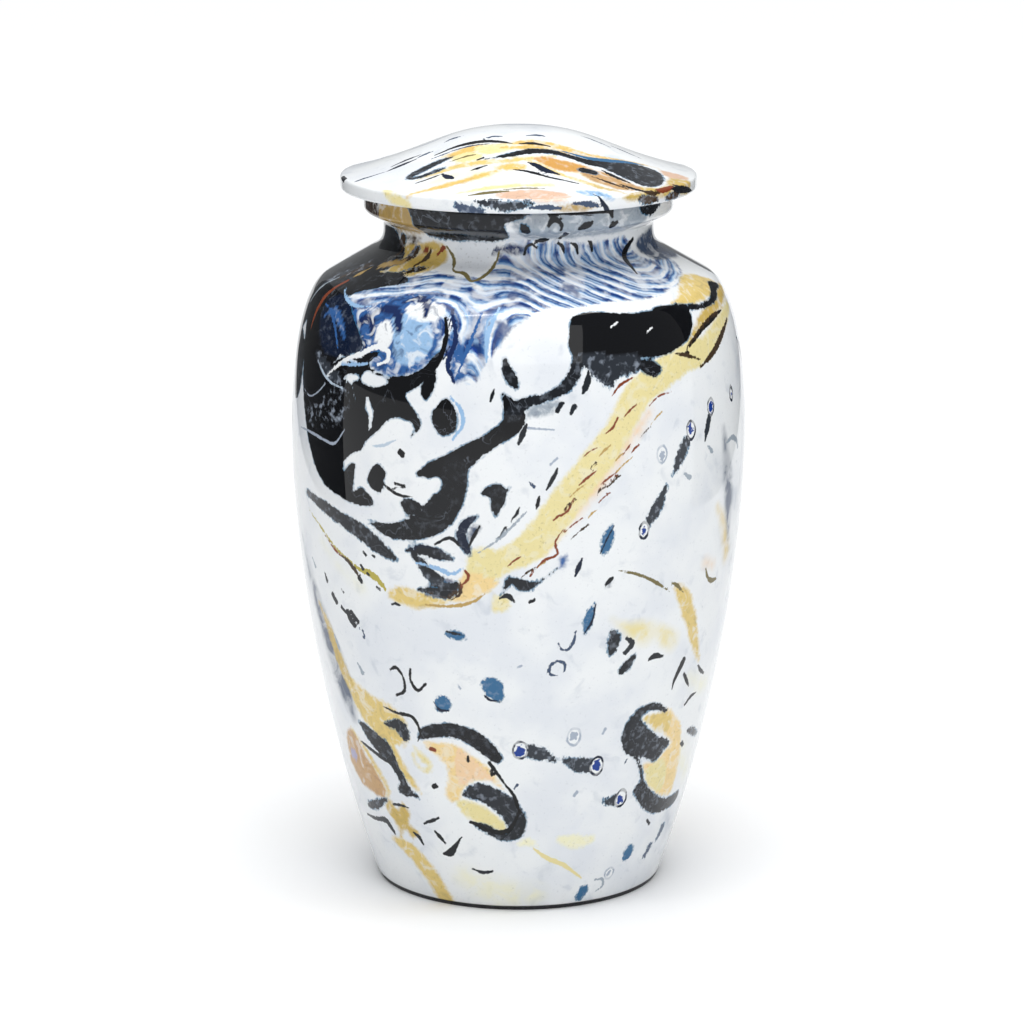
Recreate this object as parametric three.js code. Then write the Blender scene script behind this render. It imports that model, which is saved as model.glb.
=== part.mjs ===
// A cremation urn, 257 mm tall: a hollow cast-metal vessel with a flared mouth, a domed lid whose collar
// drops into that mouth, and a thin felt pad under the foot. Every piece is turned about the vertical axis.
// Millimetres, +Z up, with the origin where the axis meets the surface that the urn stands on.
import * as THREE from 'three';

// Felt pad
const padInset = 0.8; // from the foot's edge
const padThickness = 1;

// Vessel, from the foot up. Rises are heights above the level before them.
const footRadius = 48.4;
const footRounding = 1.2;
const footSlope = 0.35; // how far the wall leans out, for each millimetre up, where it leaves the foot
const bellyRadius = 76.2;
const bellyRise = 154;
const lowerFullness = 51.8; // lengths of the curve handles that shape the tapering side
const bellyFullness = 45.5;
const shoulderRun = 11.9; // how far in from the belly the round shoulder turns into a straight slope
const shoulderRise = 52.4;
const shoulderFullness = 19;
const slopeRun = 19.3; // how far that slope runs in to the neck
const slopeSteepness = 0.574; // its rise for each millimetre in
const slopeFullness = 10.6;
const neckRise = 7.4;
const neckRounding = 6.3;
const flareRise = 3.5;
const flareRounding = 1.5;
const lipFlare = 6.5; // how far the lip stands out from the neck
const lipRise = 6.5;
const lipRounding = 1.9;
const lipTopRounding = 0.8;
const vesselWall = 2.5;
const floorThickness = 3;

// Lid
const lidOverhang = 7.8; // past the lip
const rimHeight = 4.5;
const rimRounding = 1.1;
const domeRise = 15.7;
const domeSlope = 0.26; // rise for each millimetre in, where the dome leaves the rim
const domeFullness = 33.5;
const crownFullness = 26;
const lidWall = 2.2;
const collarDepth = 12;
const collarWall = 2.8;
const collarClearance = 0.4; // between the collar and the bore of the neck

const jointGap = 0.3; // between two pieces that lie on each other
const turnSteps = 48;
const cornerSteps = 3; // chords in each rounded corner
const outsideSteps = { side: 10, shoulder: 8 };
const insideSteps = { side: 7, shoulder: 6 };
const domeSteps = 10;

const footZ = padThickness + jointGap;
const bellyZ = footZ + bellyRise;
const shoulderZ = bellyZ + shoulderRise;
const neckZ = shoulderZ + slopeRun * slopeSteepness;
const flareZ = neckZ + neckRise;
const lipZ = flareZ + flareRise;
const mouthZ = lipZ + lipRise;

const padRadius = footRadius - padInset;
const shoulderRadius = bellyRadius - shoulderRun;
const neckRadius = shoulderRadius - slopeRun;
const boreRadius = neckRadius - vesselWall;
const lipRadius = neckRadius + lipFlare;
const lidRadius = lipRadius + lidOverhang;

const point = (radius, height) => new THREE.Vector2(radius, height);

// A profile is a list of points, from the axis round the section and back to the axis. A corner is a point
// with the radius that rounds it off.
const corner = (radius, height, rounding) => Object.assign(point(radius, height), { rounding });

function curve(start, startHandle, endHandle, end, steps) {
	return new THREE.CubicBezierCurve(start, startHandle, endHandle, end).getPoints(steps);
}

// Replaces each corner that has a rounding by an arc, which takes at most half of the shorter side beside it.
function roundCorners(profile) {
	return profile.flatMap((here, i) => {
		if (!here.rounding) return [here];
		const back = profile[i - 1].clone().sub(here);
		const ahead = profile[i + 1].clone().sub(here);
		const most = Math.min(back.length(), ahead.length()) / 2;
		back.normalize();
		ahead.normalize();
		const half = Math.acos(THREE.MathUtils.clamp(back.dot(ahead), -1, 1)) / 2;
		const along = Math.min(here.rounding / Math.tan(half), most);
		const radius = along * Math.tan(half);
		const bisector = back.clone().add(ahead).normalize();
		const centre = here.clone().addScaledVector(bisector, radius / Math.sin(half));
		const from = here.clone().addScaledVector(back, along).sub(centre);
		const to = here.clone().addScaledVector(ahead, along).sub(centre);
		const start = from.angle();
		const sweep = Math.atan2(from.cross(to), from.dot(to));
		return Array.from({ length: cornerSteps + 1 }, (_, k) => {
			const angle = start + sweep * k / cornerSteps;
			return point(centre.x + radius * Math.cos(angle), centre.y + radius * Math.sin(angle));
		});
	});
}

// The profile moved sideways by a wall's thickness, to the left of its own direction.
function offset(profile, thickness) {
	return profile.map((here, i) => {
		const before = profile[Math.max(i - 1, 0)];
		const after = profile[Math.min(i + 1, profile.length - 1)];
		const along = after.clone().sub(before).normalize();
		return point(here.x - along.y * thickness, here.y + along.x * thickness);
	});
}

// The part of a profile past a level of one coordinate, x or y, starting exactly at it.
function past(profile, coordinate, level) {
	const side = Math.sign(profile.at(-1)[coordinate] - level);
	const first = profile.findIndex((p) => (p[coordinate] - level) * side > 0);
	const before = profile[Math.max(first - 1, 0)];
	const share = (level - before[coordinate]) / (profile[first][coordinate] - before[coordinate] || 1);
	return [before.clone().lerp(profile[first], share), ...profile.slice(first)];
}

// The vessel's outer wall from the foot to the foot of the neck.
function bodyWall(steps) {
	const lean = point(footSlope, 1).normalize();
	const inward = point(-1, slopeSteepness).normalize();
	const foot = point(footRadius, footZ);
	const belly = point(bellyRadius, bellyZ);
	const shoulder = point(shoulderRadius, shoulderZ);
	const side = curve(
		foot, foot.clone().addScaledVector(lean, lowerFullness),
		point(bellyRadius, bellyZ - bellyFullness), belly, steps.side,
	);
	const round = curve(
		belly, point(bellyRadius, bellyZ + shoulderFullness),
		shoulder.clone().addScaledVector(inward, -slopeFullness), shoulder, steps.shoulder,
	);
	return [...side, ...round.slice(1)];
}

function vesselProfile() {
	const [foot, ...wall] = bodyWall(outsideSteps);
	const neck = corner(neckRadius, neckZ, neckRounding);
	const outside = [
		corner(foot.x, foot.y, footRounding),
		...wall,
		neck,
		corner(neckRadius, flareZ, flareRounding),
		corner(lipRadius, lipZ, lipRounding),
		corner(lipRadius, mouthZ, lipTopRounding),
	];
	const coarseWall = [...bodyWall(insideSteps), neck, point(neckRadius, flareZ)];
	const insideWall = offset(roundCorners(coarseWall).slice(0, -1), vesselWall);
	const inside = past(insideWall, 'y', footZ + floorThickness).reverse();
	return roundCorners([
		point(0, footZ),
		...outside,
		corner(boreRadius, mouthZ, lipTopRounding),
		...inside,
		point(0, footZ + floorThickness),
	]);
}

// The lid's profile, with heights from the face that lies on the vessel's mouth. Under the dome it is hollow
// as far out as the inside of the collar, and open below.
function lidProfile() {
	const collarOutside = boreRadius - collarClearance;
	const collarInside = collarOutside - collarWall;
	const inward = point(-1, domeSlope).normalize();
	const edge = point(lidRadius, rimHeight);
	const apex = point(0, rimHeight + domeRise);
	const dome = curve(
		edge, edge.clone().addScaledVector(inward, domeFullness),
		apex.clone().add(point(crownFullness, 0)), apex, domeSteps,
	);
	const hollow = past(offset(dome, lidWall), 'x', collarInside).reverse();
	hollow[0].x = 0;
	return roundCorners([
		...hollow,
		point(collarInside, -collarDepth),
		point(collarOutside, -collarDepth),
		point(collarOutside, 0),
		corner(lidRadius, 0, rimRounding),
		corner(edge.x, edge.y, rimRounding),
		...dome.slice(1),
	]);
}

function padProfile() {
	return [point(0, 0), point(padRadius, 0), point(padRadius, padThickness), point(0, padThickness)];
}

function turned(name, profile, height, look) {
	const geometry = new THREE.LatheGeometry(profile, turnSteps);
	const mesh = new THREE.Mesh(geometry, new THREE.MeshStandardMaterial(look));
	mesh.name = name;
	mesh.position.y = height;
	return mesh;
}

const glossyPrint = { color: 0xe6ebf0, roughness: 0.12, metalness: 0 };
const blackFelt = { color: 0x17181b, roughness: 1, metalness: 0 };

// Turned pieces stand along Y, and the group stands them along Z.
const urn = new THREE.Group();
urn.add(
	turned('felt_pad', padProfile(), 0, blackFelt),
	turned('vessel', vesselProfile(), 0, glossyPrint),
	turned('lid', lidProfile(), mouthZ + jointGap, glossyPrint),
);
urn.rotation.x = Math.PI / 2;

export default urn;
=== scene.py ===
# The looks of a cremation urn: a glossy marbled print over a turned metal vessel and lid, on a felt pad.
from math import radians

import bpy
import numpy as np
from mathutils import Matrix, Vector


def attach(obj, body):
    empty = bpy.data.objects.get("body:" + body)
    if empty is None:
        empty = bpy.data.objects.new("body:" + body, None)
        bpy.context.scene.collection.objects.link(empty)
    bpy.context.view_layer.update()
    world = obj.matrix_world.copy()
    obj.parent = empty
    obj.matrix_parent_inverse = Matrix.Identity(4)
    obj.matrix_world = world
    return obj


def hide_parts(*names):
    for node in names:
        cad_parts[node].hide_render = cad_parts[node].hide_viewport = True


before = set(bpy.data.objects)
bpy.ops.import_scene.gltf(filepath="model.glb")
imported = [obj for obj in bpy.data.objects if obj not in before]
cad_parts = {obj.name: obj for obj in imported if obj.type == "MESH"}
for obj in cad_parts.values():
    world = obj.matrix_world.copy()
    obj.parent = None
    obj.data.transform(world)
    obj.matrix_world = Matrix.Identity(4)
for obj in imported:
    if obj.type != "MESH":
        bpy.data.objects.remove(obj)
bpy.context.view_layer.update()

MM = 0.001

# The turned meshes. Steps are the most mm between two rows.
COLUMNS = 460
FRONT_COLUMNS = 322
FRONT_REACH = 92  # degrees to either side of the front that those columns cover
SHARP_TURN = radians(45)
FAR_LONGER = 3
WALL_STEP = 1.3
UNDERSIDE_STEP = 12
INSIDE_STEP = 9
LID_STEP = 1.1
COLLAR_STEP = 6
PAD_STEP = 4
LID_RIM_RADIUS = 50  # the lid is wider than its collar from here on
PRINT_EDGE_RADIUS = 49  # under the lid, the print ends here
RIM_ROWS = 12  # rows of that underside

# Painting, in mm
FAR = 12.0  # a stroke is felt no further away than this
LINE_REACH = 4.0
LINE_END = 0.3
THIN = 1.35  # half width below which a ribbon is painted as a line
SPREAD_STEPS = 7
UNPAINTED = -1000
BACK_SLIDE = 12.0
BACK_SQUEEZE = 1.05

# Surroundings, in metres
FLOOR_REACH = 9
FLAG_PLACE = 0.38
FLAG_LOW, FLAG_HIGH, FLAG_DEPTH = 0.04, 0.45, 0.9
URN_MIDDLE = (0, 0, 0.14)

# Camera, fitted to the photograph
PHOTO_PIXELS = 1024
FOCAL_PIXELS = 4233.9
SHIFT_PIXELS = -6.5
SENSOR_WIDTH = 36
CAMERA_PLACE = (0, -1.396, 0.448)
CAMERA_PITCH = 13.012

SHADER_SOCKETS = {
    "colour": "Base Color", "roughness": "Roughness", "metallic": "Metallic",
    "specular": "Specular IOR Level", "sheen": "Sheen Weight",
    "coat": "Coat Weight", "coat_ior": "Coat IOR", "coat_roughness": "Coat Roughness",
}

COLOURS = {
    "white": (0.925, 0.935, 0.94), "ice": (0.88, 0.895, 0.915), "mist": (0.64, 0.68, 0.74),
    "light": (0.72, 0.78, 0.84), "grey": (0.62, 0.66, 0.70), "slate": (0.25, 0.31, 0.41),
    "charcoal": (0.19, 0.21, 0.24), "black": (0.035, 0.04, 0.055), "navy": (0.09, 0.16, 0.33),
    "blue": (0.20, 0.37, 0.60), "sky": (0.58, 0.72, 0.86), "teal": (0.16, 0.42, 0.56),
    "royal": (0.09, 0.23, 0.55), "azure": (0.20, 0.40, 0.56), "deep": (0.05, 0.10, 0.19),
    "steel": (0.42, 0.45, 0.51), "moss": (0.70, 0.65, 0.30), "honey": (0.87, 0.77, 0.48),
    "apricot": (0.93, 0.82, 0.58), "navyblue": (0.10, 0.21, 0.43), "amber": (0.88, 0.74, 0.42),
    "tan": (0.76, 0.61, 0.42), "salmon": (0.86, 0.72, 0.62), "lilac": (0.66, 0.64, 0.76),
    "cream": (0.94, 0.93, 0.80), "straw": (0.90, 0.85, 0.62), "peach": (0.93, 0.80, 0.64),
    "gold": (0.79, 0.68, 0.37), "ochre": (0.72, 0.60, 0.36), "orange": (0.80, 0.60, 0.32),
    "olive": (0.45, 0.41, 0.26), "umber": (0.25, 0.19, 0.13), "rust": (0.50, 0.24, 0.14),
}
DARK = ("black", "umber", "rust", "navy", "grey")  # lines in these lie over the paler ones

# How ragged and mottled a colour lies, where that isn't the usual
RAGGED = {
    "blue": 0.95, "navy": 0.8, "sky": 0.9, "white": 0.9, "azure": 0.45, "deep": 0.2, "steel": 0.6,
    "gold": 0.55, "honey": 0.6, "apricot": 0.5, "tan": 0.6, "moss": 0.9, "navyblue": 0.9, "amber": 0.6,
    "salmon": 0.5,
    "ochre": 0.55, "peach": 0.4, "straw": 0.35, "charcoal": 0.7, "umber": 0.7, "slate": 0.7, "grey": 0.7,
}
USUAL_RAGGED_INK = 0.3
USUAL_RAGGED_UNDER = 0.35

# The prints' strokes. Places on the vessel are (azimuth in degrees, height in mm), with azimuth 0 at the
# front and growing to the right. Places on the lid are (x, y) in mm, seen from above. An entry has a look and
# its strokes. A ribbon's points have a half width in mm as their third number, and a patch's have none. The
# look is a colour, a tone from 0 for black towards 1 for charcoal, or a colour and how ragged it lies.
VESSEL_BLACK = [
    # At the sides
    (0.3, [(-97, 160, 0.4), (-92, 153, 3.2), (-86, 146, 2.4), (-81.6, 138, 0.4)],
        [(80, 188, 0.4), (85, 181, 1.8), (88, 172, 0.5)]),
    (0.1, [(-99, 177, 0.6), (-92, 172, 1.8), (-86, 165, 2.4), (-82, 157, 1)],
        [(-86, 187), (-80, 191), (-73, 186), (-73, 173), (-78, 168), (-81, 176)]),
    ("azure", [(-84, 66, 0.4), (-82.6, 60, 1.8), (-82, 54, 0.4)]),
    (0.2, [(-95.5, 114, 0.3), (-93, 100, 1.2), (-91.6, 86, 0.4)]),
    # On the left shoulder
    (0.25, [(-98, 182), (-94, 190), (-97, 198), (-92, 206), (-97, 216), (-94, 226), (-70, 226), (-58, 222),
        (-52, 216), (-60, 211), (-68, 205), (-76, 196), (-84, 188), (-90, 186)]),
    # Marks on the gold at the neck
    (("umber", 0.9), [(-54, 215, 0.4), (-49, 217.6, 1.4), (-46, 221, 0.6)],
        [(-43, 216, 0.4), (-40, 218.4, 0.9), (-39, 221, 0.4)]),
    (("black", 0.9), [(-47, 213.4, 0.6), (-41, 215, 1.4), (-36, 216, 0.4)]),
    (("rust", 0.9), [(-35, 220, 0.4), (-33, 222, 0.7)]),
    # Specks
    (0.2, [(-41.6, 117.6, 0.5), (-41, 117, 0.5)], [(-38.6, 113.4, 0.5), (-38, 113, 0.5)],
        [(3, 112.6, 0.5), (3.8, 113.2, 0.5)], [(22.4, 117, 0.4), (23.4, 118.4, 0.8), (24.2, 119.4, 0.3)],
        [(-4.6, 134.6, 0.2), (-3.2, 137.6, 0.5)],
        [(-1.6, 140.4, 0.2), (-0.4, 142.4, 0.5), (0.2, 144.4, 0.2)]),
    (0.3, [(-42.4, 124.6, 0.4), (-41.8, 124, 0.4)], [(-39.6, 124.4, 0.4), (-39, 124, 0.4)],
        [(-52.6, 109.4, 0.4), (-52, 108.8, 0.4)]),
    ("deep", [(14.2, 121, 0.3), (15, 123.6, 0.9), (15.8, 126.6, 0.3)]),
    # Black mass on the left shoulder
    (0, [(-80, 206), (-77, 196), (-73, 185), (-71, 176), (-68, 166), (-65, 157), (-61, 149), (-56, 144),
        (-49, 141.5), (-43, 140.5), (-38.5, 141.5), (-39, 144), (-42, 146.5), (-45, 145), (-44.5, 149),
        (-44, 154), (-46, 153.5), (-48.5, 150.5), (-48, 154), (-45.5, 157), (-42, 159), (-40.5, 162),
        (-37, 166), (-34.5, 169.5), (-31.5, 171.5), (-28, 171), (-26, 168.5), (-27, 166), (-24.8, 168.5),
        (-25, 172), (-27.5, 176), (-29, 179), (-27, 181), (-24, 184), (-21.2, 188), (-20.2, 193.4),
        (-21.6, 192.6), (-24.6, 188), (-29.4, 185.2), (-35, 184.2), (-41, 187), (-38, 191.5), (-46, 189),
        (-51, 187.5), (-55, 184.5), (-53, 187), (-50, 191), (-48, 196), (-52, 199), (-56, 203), (-60, 208),
        (-66, 209), (-72, 207)]),
    # Dark blue in that mass
    ("deep", [(-66, 203), (-60, 206), (-54, 204), (-49, 199.6), (-46.4, 196.4), (-44, 192.6), (-46, 190),
        (-52, 188), (-58, 187), (-63, 191), (-66, 197)]),
    # Smoke in that mass
    (("black", 1), [(-66, 168), (-60, 171), (-55, 176), (-50, 181), (-47, 178), (-47, 171), (-51, 166),
        (-58, 163), (-64, 163)]),
    (("charcoal", 0.9), [(-64, 187, 0.8), (-58, 183, 2.4), (-52, 180.6, 1.6)],
        [(-78, 204, 0.8), (-75, 209, 1.8), (-69, 213.4, 1.4), (-64, 216, 0.5)]),
    (("umber", 0.8), [(-72, 209, 0.6), (-66, 214, 1.8), (-60, 218.4, 2.8), (-57, 223, 1.6)]),
    # Gap in that mass
    ("blue", [(-64, 199, 0.4), (-59, 200.6, 1.6), (-54, 197, 1.2), (-51, 193, 0.4)]),
    # Rust arc
    ("rust", [(-71, 193, 0.3), (-70.6, 198, 0.8), (-69, 203.6, 1.1), (-65.6, 209, 0.8)]),
    # Gold arc
    ("ochre", [(-65, 211, 0.8), (-60, 214, 1.4), (-55, 215.6, 1.6), (-50, 216.6, 1)]),
    # Leaves
    ("azure", [(23.4, 136.8, 0.5), (22.6, 133.4, 2), (21.8, 130, 1.6), (21.2, 127.8, 0.3)],
        [(19.4, 111, 0.2), (18.4, 107, 1.4), (17.8, 103.6, 1.2), (17.2, 100.6, 0.2)],
        [(-9.6, 85.2), (-7, 86.2), (-4.6, 84), (-4.2, 80.4), (-5.4, 77.8), (-8, 79.4), (-9.6, 82.4)],
        [(-23.8, 74.2), (-23, 77.8), (-20.8, 78.4), (-18.8, 76.6), (-19.6, 74), (-22, 73.2)],
        [(24.2, 3.4, 1.2), (26, 6.4, 1.5)],
        [(41, 15.6), (41.6, 19), (43.4, 20.4), (45.2, 18.8), (45, 15.8), (43, 14.4)],
        [(-18.6, 100.6, 0.6), (-16, 100.4, 1.5), (-13.8, 99.6, 0.4)]),
    ("slate", [(60, 18.6, 0.9), (61.8, 22.4, 1.4)], [(54, 13.4, 0.9), (56, 16.6, 1.4)]),
    # Web below the mass
    ("deep", [(-10, 141, 0.4), (-13, 138.6, 1.4), (-14, 134, 1.7), (-13, 130.6, 1.4), (-12, 128, 0.3)],
        [(-28, 129.4, 0.3), (-24, 129, 1.5), (-20, 127.6, 1.8), (-16.6, 126.4, 0.6)]),
    ("charcoal", [(-26, 126.4, 0.4), (-24, 122, 1.5), (-21, 118.6, 1.9), (-18, 117, 1.4),
        (-15.4, 118, 0.3)]),
    ("umber", [(-25, 115.4, 0.4), (-21.4, 114.6, 1.5), (-18, 114.6, 1.8), (-15, 116, 0.6)]),
    # Arm from the mass to the bar
    (0, [(-25, 154, 0.8), (-21.5, 155.3, 2.6), (-17, 156.5, 4.4), (-12.5, 161, 3.4), (-8, 165, 2.7),
        (-4, 168.5, 2.6), (-1.5, 171.5, 3.2), (-1, 175, 3.4), (-2.5, 178.5, 1.6), (-4, 181.2, 0.3)]),
    # Right end of that arm
    (0.3, [(-1, 175, 2.6), (1.5, 178, 1.8), (5, 179.3, 1.5), (9, 181.3, 1.5), (12, 183.5, 1.8),
        (14, 187, 2), (15.2, 192, 1.8)]),
    # Hook
    (0.1, [(-15.5, 156, 4.4), (-16.5, 149, 4.8), (-18.5, 143.5, 5.2), (-22, 138.5, 4.8), (-27, 135.3, 3.6),
        (-32, 134, 2.7), (-36, 134.3, 1.6), (-39.8, 136, 0.2)]),
    # Diagonal
    (0.35, [(-67, 139, 1), (-60, 137.3, 1.8), (-54, 135.6, 2.2), (-48, 133.7, 2.4), (-43, 131.5, 2.9),
        (-38, 128.3, 2.5), (-34, 125.6, 1.6), (-31.5, 123.8, 0.2)]),
    # Tooth
    (0.1, [(-9, 148.8), (-6.8, 151.5), (-4.5, 152), (-2.8, 150.5), (-2, 151.2), (-2.8, 149), (-3.2, 146.5),
        (-4.6, 142.8), (-5.6, 141.3), (-6.4, 144), (-7, 147.5)]),
    # Blot under the arm
    (0, [(-21.5, 173.5), (-19.5, 177.5), (-17.5, 178.8), (-15.8, 176), (-15, 172.5), (-15.8, 168.5),
        (-18.5, 167), (-20.5, 169)]),
    # Blot above it
    (0, [(-24.8, 180.5), (-24, 184), (-21.5, 187.5), (-20.8, 185), (-21.5, 181.5), (-23.3, 177.8)]),
    # Islets
    (0, [(-40, 150), (-38.5, 153.5), (-36.5, 155.5), (-34, 153), (-35, 150), (-34.6, 148), (-36.5, 146),
        (-39, 147.5)]),
    # Low islet
    (0.1, [(-30, 143.8), (-27.5, 145.5), (-25.3, 144.6), (-23.8, 142.6), (-25.5, 140.5), (-28.5, 140.3)]),
    # Black bar on the right shoulder
    (0, [(15, 204.5), (13.5, 201), (13, 196), (14, 193), (17, 190.5), (22, 190.5), (28, 191), (33, 190.5),
        (38, 190.2), (44, 191.2), (49, 193.5), (52, 196.5), (53.5, 200), (53, 203), (50, 204), (44, 205),
        (36, 204), (28, 204.6), (20, 205.4)]),
    # Brushed black below the bar
    (0.75, [(15.5, 193), (17.5, 188), (20, 184.5), (23.5, 182), (25, 184.5), (28, 185.5), (32, 186.5),
        (33, 189), (31, 192), (24, 192.5)]),
    # Blot in it
    (0.1, [(31.5, 188.5), (34, 189.5), (37, 188), (38.5, 186), (36.5, 183.8), (34.5, 184.5), (32.8, 186)]),
    # Comma-shaped blot
    (0.2, [(-3.6, 192, 0.6), (-2.8, 188.5, 1.6), (-1.5, 185.5, 1.7), (-0.5, 183.5, 0.7)]),
    # Edge of the gold on the right
    (0.1, [(49, 204.2, 0.8), (56, 202.8, 0.9), (62, 202.3, 0.9), (68, 202.9, 1.2), (72, 204.5, 1.8),
        (75.5, 206, 2), (80, 205.5, 1)]),
    # Vein in it
    (0.1, [(48.5, 190.5, 0.3), (53, 193.5, 0.6), (57, 195.8, 0.8), (61, 197.2, 1), (65, 198.2, 0.9),
        (71, 198.9, 0.2)]),
    # Arc over the form low in the middle
    (0.15, [(-30, 62.3, 0.6), (-27, 64.8, 2.2), (-22, 66.2, 2.4), (-17, 66.2, 2.6), (-12, 63.5, 2.8),
        (-8.5, 60, 2.6), (-6.5, 57.5, 1.8), (-5.3, 57, 0.4)]),
    # Form low in the middle
    (0.55, [(-17.4, 43.4), (-14.6, 46.6), (-11.3, 47.8), (-5.9, 45.6), (-0.6, 41.8), (1.6, 36), (0.6, 30.8),
        (-2.6, 30.2), (-4, 33.4), (-5.9, 36.4), (-10.7, 40.6), (-14.4, 42)]),
    # Below that form
    (0.35, [(-14.6, 32.6, 0.4), (-10.7, 31.2, 1.5), (-6, 28.4, 1.3), (-1, 28.8, 1.5), (1.2, 33, 1.3),
        (1.4, 37, 0.6)]),
    # Spot
    (0.4, [(-42.3, 65), (-39.5, 66.5), (-36.5, 67.8), (-34, 66), (-33.3, 62.5), (-34.8, 60), (-36.8, 61.5),
        (-37.8, 63.5), (-40.5, 64)]),
    # Bands low on the left
    (0.3, [(-54.5, 63), (-51, 62.5), (-46, 60), (-42.5, 58), (-40.5, 54), (-39, 49.5), (-37.5, 45.5),
        (-35.5, 42), (-33, 39.7), (-36, 39.8), (-38.5, 39.3), (-41.5, 41), (-40, 44), (-41.5, 48),
        (-44, 51.5), (-48, 54), (-51, 57), (-53, 60)]),
    # Below them
    (0.35, [(-56, 55.5, 0.3), (-50, 53.3, 0.8), (-45, 51.3, 0.8), (-41, 50, 0.5)]),
    # Strokes below those
    (0.5, [(-61, 30.5, 1.2), (-56, 32, 1.7), (-52, 34, 1.2), (-48, 36.3, 0.3)]),
    # Lowest strokes on the left
    (0.6, [(-65, 26, 0.4), (-58, 26.4, 0.8), (-52, 27.3, 1.2), (-49.5, 25, 1), (-48, 23, 0.3)]),
    # Ticks
    (0.3, [(-33, 30.3, 0.3), (-30, 31.8, 0.6), (-26.8, 33.4, 0.4)]),
    (0.2, [(-29, 27.8, 0.5), (-27.5, 26, 0.8), (-26, 24.2, 0.4)],
        [(-26.8, 19.8, 0.5), (-24.5, 20.6, 1.3), (-22.5, 23, 0.9), (-19.6, 27, 0.3)]),
    (0.5, [(-16.5, 15.3, 0.4), (-13, 14.3, 0.7), (-9.8, 14.8, 0.4)]),
    (0.4, [(-38.5, 25.8, 0.3), (-36.5, 24.5, 0.8), (-35.3, 22.3, 0.4)],
        [(-45.5, 34.8, 0.4), (-42, 35.3, 0.6), (-38.5, 35, 0.2)]),
    # Dots
    (0, [(-26.8, 45.2, 1), (-26.6, 45.3, 1)], [(-15, 57.4, 0.5), (-15, 56.2, 0.6)],
        [(-8.2, 52, 0.5), (-8, 51.4, 0.5)], [(-29.8, 160.2, 1.1), (-29.6, 160, 1.1)]),
    (("rust", 0.6), [(-26.4, 58.8, 0.7), (-25.4, 58.6, 0.7)]),
    # Round-ended form low on the right
    (0.3, [(47, 68.5, 0.7), (43, 70.8, 1.3), (39, 71, 1.4), (35.5, 68.8, 1.8), (33.5, 65, 2),
        (33.3, 61, 2.2), (35, 57.5, 2), (38, 53.5, 0.8), (41, 48, 0.5), (42, 45, 0.5)]),
    # Its middle
    (0.45, [(34.5, 66.5), (37, 67.5), (40, 64.5), (43.5, 61), (47, 58.8), (50, 57.5), (51.8, 55.5),
        (49.5, 53.5), (47.5, 51.3), (45.5, 50.3), (43, 51.8), (40, 53.5), (37, 55.5), (34.5, 59),
        (33.3, 62.5)]),
    # Its base
    (0.35, [(39.3, 41.5), (42.5, 44.3), (45.5, 41), (50, 37.5), (55, 34.8), (61, 33.6), (67, 34),
        (68.3, 32), (66, 29.8), (58, 29.4), (52, 29.8), (47, 32.3), (44, 34.5), (41, 38.5)]),
    # Scribbles
    (0.2, [(-9.6, 137.8, 0.3), (-11, 134.5, 0.7), (-12.2, 131, 0.3)],
        [(-21, 131, 0.3), (-17, 133.5, 0.6), (-14.5, 131, 0.5)]),
    (0.3, [(-29, 127.8, 0.3), (-25, 128.3, 0.9), (-21, 127.8, 1.6), (-17.5, 127, 0.8)],
        [(-27, 126.5, 0.8), (-24.5, 124, 1.6), (-22, 121, 1.4), (-19.5, 119.5, 1)],
        [(-26, 115.3, 0.5), (-22, 115, 1.2), (-18.5, 115.3, 1.6), (-15.5, 118, 0.9)]),
    # Below the yellow band
    (0.3, [(-4.6, 114.5), (-3.5, 118), (-2.8, 121), (0, 120.8), (3, 119.6), (5, 120), (8, 122.3),
        (9.5, 123.8), (7, 120.8), (4.5, 118.2), (3, 116.7), (0, 116.8), (-1.5, 118.5), (-3, 117)]),
    # Point below that
    (0.3, [(-1.2, 113, 0.4), (-2.8, 114.8, 0.9), (-4.6, 113.8, 0.3)]),
    # Band at the neck
    (0.2, [(-41, 226), (-41.5, 231), (-41, 238), (3, 238), (1, 234), (-5, 232), (-4, 227), (-10, 225.3),
        (-20, 225.3), (-30, 225)]),
    # Top left of the shoulder
    (0.1, [(-82, 219.5), (-72, 221.3), (-62, 222.3), (-57, 219.5), (-60, 216.5), (-63, 214), (-68, 214.8),
        (-74, 217)]),
    # Under that
    (0.05, [(-62, 214.5), (-56, 213), (-48, 213.8), (-41, 213), (-39.5, 211.8), (-47, 209.8), (-53, 208),
        (-58, 206), (-63, 208.5)]),
    # Navy hook
    (0.1, [(56, 222.8, 0.6), (51, 220.5, 1), (48, 218.5, 1.1), (46.8, 216.5, 1), (45.6, 213.8, 0.3)]),
    # Marks round the neck
    (0.2, [(2.5, 221.5, 0.4), (3.3, 223.5, 0.6), (5.5, 224.4, 0.5), (7.5, 223.2, 0.3)],
        [(8, 225.5, 0.6), (10, 225.9, 0.9), (12, 226, 0.3)],
        [(1.5, 231.2, 0.8), (2.5, 230, 1.4), (3.5, 229, 0.8)],
        [(17.5, 226.5, 0.6), (18.5, 227.7, 1), (17.5, 228.6, 0.4)],
        [(19, 221.5, 0.3), (18.4, 223.2, 0.7), (16.8, 224.4, 0.4)],
        [(25, 221, 0.4), (24.6, 223.2, 0.6), (22.5, 224.2, 0.3)],
        [(23, 230, 0.7), (25, 230.7, 1.3), (27, 231.5, 0.7)], [(36.5, 230, 1.1), (38, 230.8, 0.7)],
        [(11, 231.5, 0.5), (12.5, 233.5, 1.1), (15.5, 232, 0.6), (15.5, 230, 0.4)]),
    (0.1, [(31.8, 221.5, 0.4), (31.5, 223.5, 0.9), (30.2, 224.5, 0.3)],
        [(11, 235.5, 0.5), (22, 235, 0.6), (34, 235.5, 1.2), (36, 233, 0.4)]),
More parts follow.
